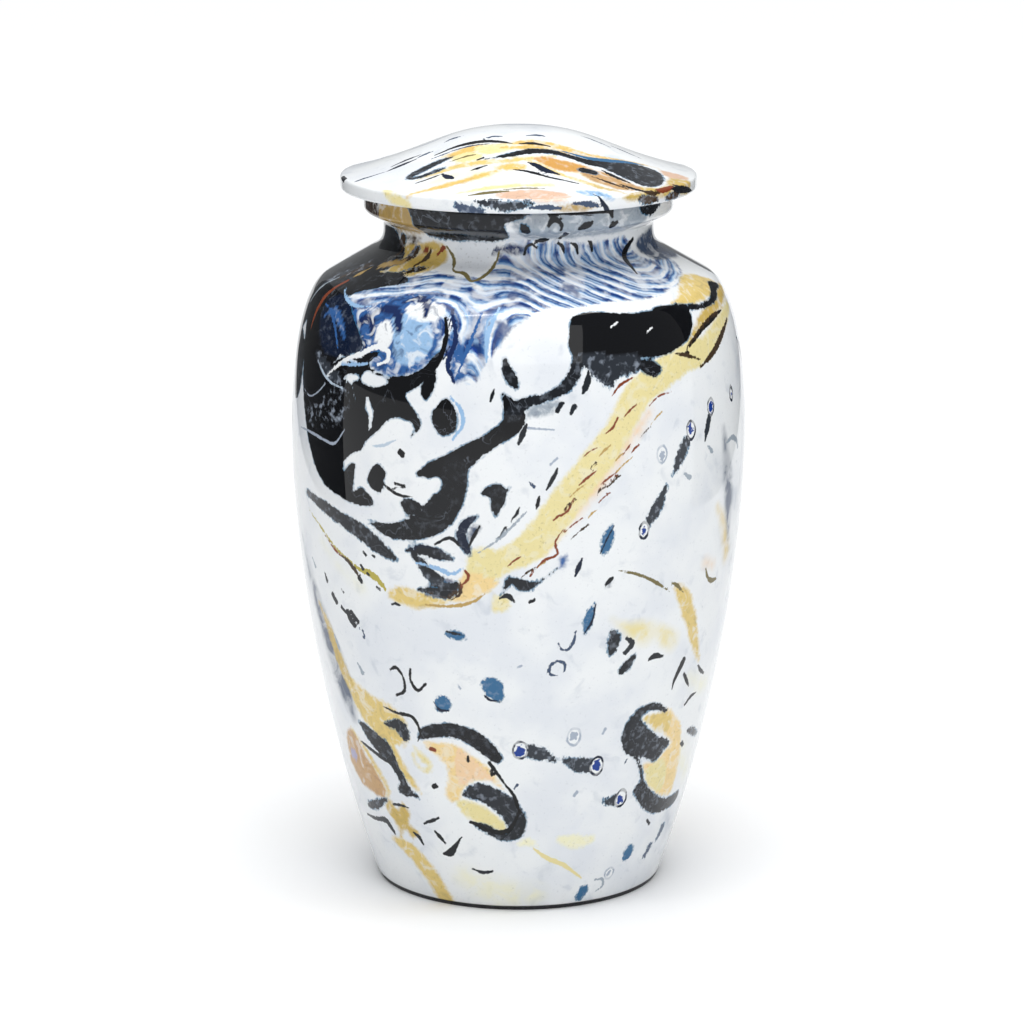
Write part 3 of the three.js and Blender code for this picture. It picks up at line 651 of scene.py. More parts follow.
LID_BLACK = [
    # Marks
    (("umber", 0.9), [(39, -46.4, 0.4), (43.6, -44, 1.5), (47, -40.6, 0.6)],
        [(50, -37, 0.4), (52.8, -33, 1.4), (54.4, -28.6, 0.4)],
        [(47, -48, 0.3), (50.4, -44, 1.4), (53, -40, 0.5)]),
    (("black", 0.9), [(33, -39.6, 0.3), (38, -41.6, 0.9), (42, -41.4, 0.3)],
        [(27, -31, 0.4), (31, -33.8, 1), (36, -36.6, 0.4)]),
    (("slate", 0.9), [(18, -58, 0.3), (23, -56.6, 1), (27, -56, 0.3)]),
    # Arc
    (0.1, [(-27, -18.6, 0.3), (-20, -17, 1), (-12, -17.6, 1.2), (-6, -19.8, 0.9), (-2.4, -21.4, 0.3)]),
    # Loop
    (0.4, [(-21.6, -24.4, 0.4), (-26, -25.4, 1.5), (-31, -28, 1.9), (-35.4, -31.8, 1.2), (-32.4, -34, 0.9),
        (-27, -32, 1.2), (-24, -31, 0.3)]),
    # Long stroke through the middle
    (0.1, [(-11, -30.4, 0.2), (-4, -29.4, 0.8), (3, -27, 1.5), (10, -25.8, 1.3), (17, -26.6, 1.4),
        (23, -27.6, 2), (29, -26, 3)]),
    # Mass
    (0.35, [(26, -28), (30, -22.6), (34.5, -19), (39, -16.4), (43.6, -16), (46.6, -19), (47.6, -25),
        (46.6, -31), (44, -35.4), (40, -36.6), (36, -34), (31.4, -31.4)]),
    # Small strokes
    (0.1, [(0.6, -21.8, 0.3), (4.4, -21.2, 1), (9.8, -22, 0.3)]),
    # Oval
    (0.1, [(20.8, -34, 1.5), (24.2, -34.2, 1.5)]),
    # Squiggles
    ("deep", [(3.4, -33.6, 0.4), (6, -35.2, 1.2), (9, -37.8, 1.3), (13, -39.4, 0.4)]),
    (0.2, [(-1.4, -38, 0.3), (4, -39.4, 0.8), (10, -42, 0.6), (19, -44.2, 0.3)]),
    # Leaves
    ("deep", [(-24.6, -35.6, 0.3), (-23, -38, 1.3), (-21.4, -39.6, 0.6)]),
    # Dashes
    ("deep", [(-43, -19.6, 0.2), (-38.6, -17.6, 1.1), (-34, -16.4, 0.3)],
        [(-41.6, -15.4, 0.2), (-37, -13.4, 0.8), (-32.6, -13, 0.2)]),
    ("slate", [(-33, -15.4, 0.2), (-30.6, -14.4, 0.8), (-28.6, -14.4, 0.3)],
        [(-24, -8.4, 0.2), (-21.6, -7.4, 0.9), (-18.6, -7.4, 0.2)],
        [(-11, -15, 0.2), (-8.4, -14.4, 0.8), (-5.6, -15, 0.2)],
        [(3, -14.6, 0.2), (6, -13.6, 0.9), (9, -14.4, 0.2)],
        [(21, -4.6, 0.2), (25, -5.2, 0.6), (30, -6.4, 0.2)],
        [(31, -3.4, 0.2), (35, -4, 0.6), (40, -5.4, 0.2)],
        [(-54, -22.4, 0.3), (-50, -20.6, 0.7), (-44, -19.6, 0.2)]),
    (0.3, [(-15.4, -36.4, 0.2), (-13, -35.4, 0.7), (-10.4, -34.4, 0.2)]),
    (0.2, [(-13, -29.8, 0.4), (-11.8, -29.4, 0.6)]),
    (0.4, [(-33, -38.4, 0.2), (-28, -36.6, 0.5), (-24.6, -35, 0.2)]),
    # Along the front
    ("olive", [(-15.6, -54, 0.3), (-10, -53, 1.1), (-3.6, -52.2, 0.4)]),
    # Round the rim
    (("slate", 0.9), [(-20.6, -57.6, 0.6), (-18, -60, 1.5), (-14.6, -61.4, 1.4), (-12, -61.8, 0.4)],
        [(4, -61.6, 0.3), (9, -61, 0.8), (14, -60.4, 0.3)]),
    (("charcoal", 0.9), [(-14, -58.2, 0.3), (-9, -59.8, 1.3), (-4, -61.2, 1.5), (1.6, -60.6, 0.9),
        (4, -60, 0.3)]),
    ("deep", [(24, -51.4, 0.2), (27, -54, 0.6), (30.4, -55.6, 0.8), (32, -55.8, 0.3)]),
    (0.2, [(50, -32.4, 0.3), (53.6, -28.4, 1.3), (57.6, -22, 1), (60, -18, 0.3)]),
    (0.4, [(-57.8, -14, 0.9), (-58.6, -9, 0.6)]),
    # At the back
    (0.2, [(-38, 14, 0.4), (-24, 24, 1.6), (-6, 28, 2.4), (12, 25, 1.6), (28, 28, 0.4)]),
    (0.3, [(-18, 42, 0.3), (0, 45, 1.4), (18, 41, 2.4), (30, 33, 0.6)]),
    ("deep", [(20, 14, 0.3), (32, 19, 0.9), (43, 27, 0.3)]),
    ("slate", [(-46, 8, 0.2), (-42, 14, 0.9), (-36, 17, 0.3)]),
]

LID_UNDER = [
    # Upper run
    ("honey", [(-25, -22.4, 0.8), (-16, -21, 2), (-8, -22, 1.6), (0, -21.6, 1.6), (10, -20.4, 1.8),
        (20, -21.6, 1.4), (28, -21.6, 0.8)]),
    # Middle run
    ("honey", [(-33, -36, 0.6), (-28, -34, 1.6), (-20, -32, 2), (-12, -32, 2), (-4, -32.6, 1.8),
        (4, -31, 1.6), (12, -28.4, 1.2)]),
    # Run at the mass
    ("gold", [(22, -31, 0.8), (29, -35.6, 1.8), (37, -39.4, 2.2), (45, -38.4, 2.4), (50, -31, 2.2),
        (50.4, -22, 1.6), (47, -14, 0.8)]),
    # Amber
    ("amber", [(-23, -22), (-17, -19.6), (-12, -20), (-13, -24), (-16, -28), (-20, -28.4), (-23, -25.6)],
        [(-2, -20), (4, -18), (12, -19), (18.4, -21.6), (17, -24), (9, -23.4), (2, -23.6)]),
    # Straw
    ("straw", [(-14, -21), (-6, -21.6), (0, -23.6), (-2, -26.4), (-9, -28), (-13, -26)]),
    # Orange
    ("orange", [(5, -30.4), (9, -28.8), (15, -29.4), (22, -30.4), (24, -34), (18, -37.4), (10, -36.4),
        (6, -33.6)]),
    # Tan
    ("tan", [(19, -34), (26, -31.6), (33, -33.8), (39, -38), (39.4, -42), (34, -44.6), (27, -43),
        (21, -39)]),
    # Gold edge
    ("gold", [(13, -38.6, 0.6), (20, -42, 1.6), (27, -45, 1.4), (34, -46.4, 0.8)]),
    # Between the runs
    ("amber", [(-6, -24), (2, -22.4), (14, -23), (26, -22.4), (24, -25), (12, -26), (2, -26.2)]),
    ("straw", [(-22, -25), (-16, -23.6), (-11, -27.6), (-14, -30.6), (-20, -29.6)]),
    ("honey", [(-4, -29.4, 0.5), (3, -32.6, 1.5), (10, -37.4, 1.7), (18, -41.4, 1.2), (24, -44, 0.4)]),
    # Gold
    ("amber", [(-8, -35), (-2, -33.6), (3, -35), (2.4, -38), (-3, -39), (-7, -37.6)]),
    # Gold band
    ("amber", [(18, -22.6, 0.4), (25, -21.4, 1.3), (32, -18.4, 1.4), (40, -14.4, 1.2), (46, -12, 0.5)]),
    # Streak
    ("amber", [(-36, -48, 0.8), (-27, -45.4, 1.9), (-18, -43, 1.9), (-10, -39.8, 1.9), (-6, -37.6, 1.2)]),
    # Streak low
    ("straw", [(-20, -52, 0.8), (-11, -49.8, 1.8), (0, -48.6, 1.6), (11, -47.4, 1)]),
    # Salmon
    ("salmon", [(-8, -54), (-1, -51.4), (8, -50.6), (16, -53), (17, -57), (10, -59.4), (0, -59.6),
        (-6, -58)]),
    # Olive rim
    ("ochre", [(12, -61, 0.5), (18, -59.6, 1.6), (24, -57.4, 1.2), (28, -55, 0.4)]),
    # Peach rim
    ("salmon", [(46, -14), (54, -12), (57, -15), (53, -20.6), (48.4, -21)]),
    # Gold rim
    ("gold", [(49, -22), (57, -18), (59, -23), (54, -32), (46, -42), (38, -49), (33, -50), (36, -46),
        (42, -41), (47, -34)]),
    # Rim left
    ("straw", [(-44, -38), (-40, -43), (-36, -50), (-38, -52), (-44, -45)]),
    # Ice front
    ("sky", [(18, -50), (25, -48), (29, -49.6), (31, -52), (24, -54)]),
    # Back gold
    ("honey", [(-42, 20, 0.6), (-28, 31, 2.2), (-10, 36, 2.8), (8, 33.6, 2.2), (22, 36, 0.6)]),
    # Back orange
    ("amber", [(-28, 15, 0.4), (-13, 21, 1.6), (5, 20.6, 2), (20, 19, 1.4), (33, 24, 0.4)]),
    # Back rim
    ("gold", [(-50, 30), (-42, 38), (-36, 46), (-44, 46), (-54, 34)]),
]

LID_LINES = [
    # Blue lines
    ("slate", [(-28, -21, 0.2), (-18, -19.4, 0.4), (-9, -20.4, 0.2)]),
    ("azure", [(14, -24, 0.2), (22, -24.6, 0.9), (29, -22, 1.1), (36, -17, 0.9), (41, -14.4, 0.3)]),
    # Brown lines
    ("umber", [(24, -37.6, 0.2), (29, -39.6, 0.7), (35, -42.6, 0.2)],
        [(40, -43, 0.3), (43.6, -41, 0.9), (46, -38.6, 0.3)]),
    ("rust", [(44, -38.6, 0.3), (47, -36.4, 1), (49.6, -32, 0.8), (50.4, -28.4, 0.3)]),
    # Olive lines
    ("olive", [(-22, -27.4, 0.2), (-17.4, -26.4, 0.6), (-14.4, -26.4, 0.2)],
        [(-6, -51.4, 0.2), (2, -50.2, 0.5), (9, -50, 0.2)]),
    # Grey lines
    ("mist", [(-8, 6, 0.2), (2, 4, 0.6), (12, 6, 0.2)], [(-36, 2, 0.2), (-30, 0, 0.7), (-22, 1, 0.2)]),
]

LID_WASHES = [
    # Haze
    ("ice", 0.8, 7, [(-30, -10, 4), (-14, -10, 5), (4, -9, 5)], [(-44, -24, 3), (-38, -38, 4)]),
    ("cream", 0.8, 6, [(-34, -44, 2), (-20, -38, 4), (-6, -44, 4), (10, -46, 2)]),
    ("mist", 0.5, 8, [(-10, 20, 4), (14, 26, 6), (30, 14, 4)]),
    ("sky", 0.5, 5, [(10, -23, 1), (22, -24, 2), (33, -17, 2)]),
    ("cream", 0.7, 6, [(14, -33, 3), (26, -40, 4)]),
]


def linear(colour):
    """A named colour as the screen shows it, turned into light."""
    shown = np.array(COLOURS[colour])
    return np.where(shown <= 0.04045, shown / 12.92, ((shown + 0.055) / 1.055) ** 2.4)


def add_object(name, data):
    obj = bpy.data.objects.new(name, data)
    bpy.context.scene.collection.objects.link(obj)
    return obj


# Sections of the frame's pieces


def section_of(node):
    """The node's section at its +X side, as a chain of (radius, height) in mm from the axis to the axis."""
    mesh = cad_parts[node].data
    places = [tuple(round(c / MM, 3) for c in vertex.co) for vertex in mesh.vertices]
    beside = {}
    for edge in mesh.edges:
        a, b = (places[i] for i in edge.vertices)
        if a != b and all(abs(y) < 0.01 and x > -0.01 for x, y, _ in (a, b)):
            beside.setdefault((a[0], a[2]), set()).add((b[0], b[2]))
            beside.setdefault((b[0], b[2]), set()).add((a[0], a[2]))
    here = min((p for p in beside if p[0] < 0.01), key=lambda p: p[1])
    chain = [here]
    while True:
        ahead = [p for p in beside[here] if p not in chain]
        if not ahead:
            return np.array(chain)
        here = ahead[0]
        chain.append(here)


def tangents_of(points):
    """Directions along a smooth chain. A far longer chord is a straight side, so it decides."""
    chords = np.diff(points, axis=0)
    lengths = np.linalg.norm(chords, axis=1)
    units = chords / lengths[:, None]
    tangents = [units[0]]
    for i in range(1, len(points) - 1):
        before, after = lengths[i - 1], lengths[i]
        if before > FAR_LONGER * after:
            tangent = units[i - 1]
        elif after > FAR_LONGER * before:
            tangent = units[i]
        else:
            tangent = units[i - 1] * after + units[i] * before
        tangents.append(tangent / np.linalg.norm(tangent))
    tangents.append(units[-1])
    return np.array(tangents)


def refine(chain, step_at):
    """The chain with rows added along smooth curves between its points, and its true corners kept."""
    units = np.diff(chain, axis=0)
    units /= np.linalg.norm(units, axis=1)[:, None]
    turns = np.arccos(np.clip(np.sum(units[:-1] * units[1:], axis=1), -1, 1))
    corners = [0, *(np.flatnonzero(turns > SHARP_TURN) + 1), len(chain) - 1]
    rows = [chain[:1]]
    for first, last in zip(corners[:-1], corners[1:]):
        points = chain[first:last + 1]
        tangents = tangents_of(points)
        for i in range(len(points) - 1):
            length = np.linalg.norm(points[i + 1] - points[i])
            count = max(1, int(np.ceil(length / step_at(first + i))))
            t = (np.arange(1, count + 1) / count)[:, None]
            rows.append(
                points[i] * (2 * t ** 3 - 3 * t ** 2 + 1) + points[i + 1] * (3 * t ** 2 - 2 * t ** 3)
                + length * tangents[i] * (t ** 3 - 2 * t ** 2 + t)
                + length * tangents[i + 1] * (t ** 3 - t ** 2)
            )
    return np.concatenate(rows)


def row_at(rows, place):
    return np.flatnonzero(np.abs(rows - place).sum(axis=1) < 1e-6)[0]


def row_of_vertices(rows):
    """Which row each vertex of a turned mesh lies on. The two on the axis come last."""
    return np.concatenate([np.repeat(np.arange(1, len(rows) - 1), COLUMNS), [0, len(rows) - 1]])


def column_angles():
    """Azimuths of the columns, closer together over the front, where the prints have most to show."""
    front = np.linspace(-FRONT_REACH, FRONT_REACH, FRONT_COLUMNS, endpoint=False)
    back = np.linspace(FRONT_REACH, 360 - FRONT_REACH, COLUMNS - FRONT_COLUMNS, endpoint=False)
    return np.concatenate([front, back])


def turned(name, rows, painted, materials):
    """A fine turned mesh. Faces between painted rows take the first material, and the others the last."""
    angles = np.radians(column_angles())
    ring = np.stack([np.sin(angles), -np.cos(angles)], axis=1)
    body = rows[1:-1]
    places = np.empty((len(body) * COLUMNS + 2, 3))
    places[:-2, :2] = (body[:, None, :1] * ring[None]).reshape(-1, 2)
    places[:-2, 2] = np.repeat(body[:, 1], COLUMNS)
    places[-2] = (0, 0, rows[0, 1])
    places[-1] = (0, 0, rows[-1, 1])
    here = np.arange(COLUMNS)
    right = (here + 1) % COLUMNS
    start, end = len(places) - 2, len(places) - 1
    faces = [(start, b, a) for a, b in zip(here, right)]
    for low in range(0, (len(body) - 1) * COLUMNS, COLUMNS):
        high = low + COLUMNS
        faces += list(zip(low + here, low + right, high + right, high + here))
    top = (len(body) - 1) * COLUMNS
    faces += [(top + a, top + b, end) for a, b in zip(here, right)]
    mesh = bpy.data.meshes.new(name)
    mesh.from_pydata(places * MM, [], [tuple(int(i) for i in face) for face in faces])
    for material in materials:
        mesh.materials.append(material)
    between = painted[:-1] & painted[1:]
    mesh.polygons.foreach_set("material_index", np.repeat(np.where(between, 0, len(materials) - 1), COLUMNS))
    mesh.set_sharp_from_angle(angle=SHARP_TURN)
    return add_object(name, mesh)


# Painting


def strokes_of(table):
    """Every stroke of a table with its look, in the order of painting."""
    return [(look, points) for look, *strokes in table for points in strokes]


def is_patch(points):
    return len(points[0]) == 2


def is_thin(points):
    return not is_patch(points) and max(half_width for _, _, half_width in points) < THIN


def spread(points, closed=False):
    """A smooth line through given points, whatever they hold."""
    points = np.array(points, dtype=float)
    if len(points) < 3:
        return points
    if closed:
        ring = np.concatenate([points[-1:], points, points[:2]])
    else:
        ring = np.concatenate([2 * points[:1] - points[1:2], points, 2 * points[-1:] - points[-2:-1]])
    t = (np.arange(SPREAD_STEPS) / SPREAD_STEPS)[None, :, None]
    a, b, c, d = (ring[i:len(ring) - 3 + i][:, None, :] for i in range(4))
    bend = (2 * a - 5 * b + 4 * c - d) * t ** 2 + (3 * b - a - 3 * c + d) * t ** 3
    line = (0.5 * (2 * b + (c - a) * t + bend)).reshape(-1, points.shape[1])
    return line if closed else np.concatenate([line, points[-1:]])


def to_segments(dx, dy):
    """From each vertex to each straight piece of a line: the share along it, the distance and the side."""
    ax, ay = dx[:, :-1], dy[:, :-1]
    ex, ey = np.diff(dx, axis=1), np.diff(dy, axis=1)
    squared = np.maximum(ex ** 2 + ey ** 2, 1e-9)
    t = np.clip(-(ax * ex + ay * ey) / squared, 0, 1)
    return t, np.hypot(ax + t * ex, ay + t * ey), (ax * ey - ay * ex) / np.sqrt(squared)


class Canvas:
    """Places on a painted surface, in mm or degrees across and mm along, and the fields painted onto them."""

    def __init__(self, across, along, scale, to_along):
        self.across = across
        self.along = along
        self.scale = scale
        self.to_along = to_along

    def offsets(self, line, chosen=slice(None)):
        """A line's points as seen from each chosen vertex, in mm."""
        dx = (line[None, :, 0] - self.across[chosen, None]) * self.scale[chosen, None]
        dy = self.to_along(line[:, 1])[None] - self.along[chosen, None]
        return dx, dy

    def near(self, line, reach):
        """The vertices within reach of a line, and the line's points as seen from each of them."""
        x, y = line[:, 0], self.to_along(line[:, 1])
        side = reach / np.maximum(self.scale, 0.2)
        chosen = np.flatnonzero(
            (self.across > x.min() - side) & (self.across < x.max() + side)
            & (self.along > y.min() - reach) & (self.along < y.max() + reach)
        )
        return chosen, *self.offsets(line, chosen)

    def distance_from(self, line):
        """Distance of every vertex from a straight line between two places."""
        return to_segments(*self.offsets(np.array(line, dtype=float)))[1][:, 0]

    def ribbon(self, points, reach=FAR):
        """Distance past a ribbon's edge, distance from its middle line, side of that line, half width."""
        line = spread(points)
        chosen, dx, dy = self.near(line, reach + line[:, 2].max())
        t, away, side = to_segments(dx, dy)
        widths = np.maximum(line[:-1, 2] + np.diff(line[:, 2]) * t, 0.02)
        pick = (np.arange(len(chosen)), np.argmin(away - widths, axis=1))
        return chosen, (away - widths)[pick], away[pick], side[pick], widths[pick]

    def patch(self, points, reach=FAR):
        """Distance past a patch's outline, negative inside it."""
        line = spread(points, closed=True)
        line = np.concatenate([line, line[:1]])
        chosen, dx, dy = self.near(line, reach)
        away = to_segments(dx, dy)[1].min(axis=1)
        ax, ay, by = dx[:, :-1], dy[:, :-1], dy[:, 1:]
        rise = np.where(by == ay, 1, by - ay)
        crosses = ((ay > 0) != (by > 0)) & (ax - ay * np.diff(dx, axis=1) / rise > 0)
        inside = crosses.sum(axis=1) % 2 == 1
        return chosen, np.where(inside, -away, away)


def blot_layer(canvas, strokes, colour_of):
    """A layer of patches and broad ribbons: the distance past the nearest edge, and that stroke's colour."""
    past = np.full(len(canvas.along), FAR)
    colour = np.tile(np.append(linear("white"), 0), (len(past), 1))
    for look, points in strokes:
        chosen, distance = (canvas.patch if is_patch(points) else canvas.ribbon)(points)[:2]
        colour[chosen[(distance < past[chosen]) | (distance < 0)]] = colour_of(look)
        past[chosen] = np.minimum(past[chosen], distance)
    return past, colour


def line_layer(canvas, strokes):
    """A layer of thin lines: side, half width and distance for each place, and the nearest line's colour."""
    field = np.tile((FAR, 0.0, FAR), (len(canvas.along), 1))
    colour = np.tile(np.append(linear("white"), 1), (len(field), 1))
    for look, points in strokes:
        chosen, past, away, side, width = canvas.ribbon(points, LINE_REACH)
        closer = past < field[chosen, 2] - field[chosen, 1]
        places = chosen[closer]
        field[places] = np.stack([side, width, away], axis=1)[closer]
        colour[places] = ink_colour(look)
    return field, colour


def wash_layer(canvas, washes):
    """Soft colour under everything else, as a colour and its strength."""
    wash = np.zeros((len(canvas.along), 4))
    wash[:, :3] = linear("ice")
    for look, strength, soft, *ribbons in washes:
        for points in ribbons:
            chosen, past = canvas.ribbon(points, soft + 1)[:2]
            amount = strength * np.clip(0.5 - past / soft, 0, 1) ** 1.5
            kept = wash[chosen, 3] * (1 - amount)
            total = kept + amount
            share = (amount / np.maximum(total, 1e-6))[:, None]
            wash[chosen, :3] = wash[chosen, :3] * (1 - share) + linear(look) * share
            wash[chosen, 3] = total
    return wash


def cut(canvas, past, patches):
    """Takes patches out of a layer."""
    for points in patches:
        chosen, distance = canvas.patch(points)
        past[chosen] = np.maximum(past[chosen], -distance)


def drop_layer(canvas, drops):
    """Distance past the outline of the nearest drop."""
    past = np.full(len(canvas.along), FAR)
    for x, y, half_width, half_height in drops:
        chosen, dx, dy = canvas.near(np.array([(x, y)]), FAR)
        reach = np.hypot(dx[:, 0] / half_width, dy[:, 0] / half_height)
        past[chosen] = np.minimum(past[chosen], (reach - 1) * min(half_width, half_height))
    return past


def ink_colour(tone):
    """A tone from black to charcoal, or a named colour. The fourth number is how ragged it lies."""
    if isinstance(tone, tuple):
        return np.append(linear(tone[0]), tone[1])
    if isinstance(tone, str):
        return np.append(linear(tone), RAGGED.get(tone, USUAL_RAGGED_INK))
    return np.append(linear("black") * (1 - tone) + linear("charcoal") * tone, tone)


def under_colour(look):
    """A named colour, and how strongly it is mottled."""
    return np.append(linear(look), RAGGED.get(look, USUAL_RAGGED_UNDER))


def store(piece, name, values):
    """Values for each painted vertex, kept on the piece for its material to read."""
    width = 1 if values.ndim == 1 else values.shape[1]
    kind, field = {1: ("FLOAT", "value"), 3: ("FLOAT_VECTOR", "vector"), 4: ("FLOAT_COLOR", "color")}[width]
    attribute = piece.data.attributes.new(name, kind, "POINT")
    attribute.data.foreach_set(field, values.astype(np.float32).ravel())


def layers_of(canvas, black, under, lines, washes, cuts=(), drops=(), pale_drops=(), swirl=None):
    """Every layer of the print on one canvas: its values, and the colours that go with them or None."""
    ink_strokes = strokes_of(black)
    thin = [stroke for stroke in ink_strokes if is_thin(stroke[1])]
    broad = [stroke for stroke in ink_strokes if not is_thin(stroke[1])]
    dark = [stroke for stroke in strokes_of(lines) if stroke[0] in DARK]
    pale = [stroke for stroke in strokes_of(lines) if stroke[0] not in DARK]
    ink, ink_colours = blot_layer(canvas, broad, ink_colour)
    cut(canvas, ink, cuts)
    bands = swirl(canvas) if swirl else np.tile((FAR, 0.0, 0.0), (len(canvas.along), 1))
    return {
        "ink": (ink, ink_colours),
        "under": blot_layer(canvas, strokes_of(under), under_colour),
        "line": line_layer(canvas, thin + dark),
        "trace": line_layer(canvas, pale),
        "drop": (drop_layer(canvas, drops), None),
        "pale_drop": (drop_layer(canvas, pale_drops), None),
        "wash": (wash_layer(canvas, washes), None),
        "swirl": (bands, None),
    }


def nearness(name, values):
    """How far each place lies outside the nearest stroke of a layer."""
    if name == "wash":
        return -values[:, 3]
    if name == "swirl":
        return values[:, 0]
    return values if values.ndim == 1 else values[:, 2] - values[:, 1]


def joined(front, back):
    """Two canvases' layers as one, with each place's values from the canvas whose stroke is nearer."""
    both = {}
    for name, (values, colours) in front.items():
        other, other_colours = back[name]
        taken = nearness(name, other) < nearness(name, values)
        if colours is not None:
            colours = np.where(taken[:, None], other_colours, colours)
        both[name] = np.where(taken if values.ndim == 1 else taken[:, None], other, values), colours
    return both


def paint(piece, layers):
    for name, (values, colours) in layers.items():
        store(piece, name, values)
        if colours is not None:
            store(piece, name + "_colour", colours)


# Materials


class Value:
    """What a material's node works out. Plain arithmetic on it adds further nodes."""

    def __init__(self, graph, socket):
        self.graph = graph
        self.socket = socket

    def __add__(self, other):
        return self.graph.math("ADD", self, other)

    def __sub__(self, other):
        return self.graph.math("SUBTRACT", self, other)

    def __mul__(self, other):
        return self.graph.math("MULTIPLY", self, other)

    def __truediv__(self, other):
        return self.graph.math("DIVIDE", self, other)

    def __pow__(self, other):
        return self.graph.math("POWER", self, other)

    def __abs__(self):
        return self.graph.math("ABSOLUTE", self)


class Graph:
    """A material's nodes, put together in few words."""

    def __init__(self, name):
        self.material = bpy.data.materials.new(name)
        self.material.use_nodes = True
        self.nodes = self.material.node_tree.nodes
        self.links = self.material.node_tree.links
        self.place = Value(self, self.node("TexCoord").outputs["Object"])

    def put(self, socket, value):
        """Joins a socket to a node's result, or sets it to a number or a named colour."""
        if isinstance(value, Value):
            self.links.new(value.socket, socket)
        elif isinstance(value, str):
            socket.default_value = (*linear(value), 1)
        else:
            socket.default_value = value

    def node(self, kind, *values, **settings):
        """A new node with its settings, and its first inputs put to the values."""
        node = self.nodes.new("ShaderNode" + kind)
        for name, setting in settings.items():
            setattr(node, name, setting)
        for socket, value in zip(node.inputs, values):
            self.put(socket, value)
        return node

    def math(self, operation, *values):
        return Value(self, self.node("Math", *values, operation=operation).outputs[0])

    def mix(self, amount, low, high):
        node = self.node("Mix", data_type="RGBA")
        for name, value in (("Factor", amount), ("A", low), ("B", high)):
            self.put(node.inputs[name], value)
        return Value(self, node.outputs["Result"])

    def steps(self, value, low, high, start=0, end=1):
        """Goes smoothly from start to end while the value goes from low to high."""
        node = self.node("MapRange", value, low, high, start, end, interpolation_type="SMOOTHSTEP")
        return Value(self, node.outputs[0])

    def noise(self, size, detail=2, stretch=(1, 1, 1), twist=0):
        """Noise with features about size mm across."""
        mapping = self.node("Mapping", self.place)
        mapping.inputs["Scale"].default_value = tuple(1 / (size * MM * s) for s in stretch)
        node = self.node("TexNoise", Value(self, mapping.outputs[0]))
        node.inputs["Scale"].default_value = 1
        node.inputs["Detail"].default_value = detail
        node.inputs["Distortion"].default_value = twist
        return Value(self, node.outputs["Fac"])

    def attribute(self, name, output="Fac"):
        return Value(self, self.node("Attribute", attribute_name=name).outputs[output])

    def parts(self, vector):
        return [Value(self, output) for output in self.node("SeparateXYZ", vector).outputs]

    def ramp(self, value, stops):
        node = self.node("ValToRGB", value)
        elements = node.color_ramp.elements
        while len(elements) < len(stops):
            elements.new(1)
        for element, (place, colour) in zip(elements, stops):
            element.position = place
            element.color = (*linear(colour), 1)
        return Value(self, node.outputs["Color"])

    def shade(self, **sockets):
        """The material, once the named sockets of its shader are put to their values."""
        shader = self.nodes["Principled BSDF"]
        for name, value in sockets.items():
            self.put(shader.inputs[SHADER_SOCKETS[name]], value)
        return self.material


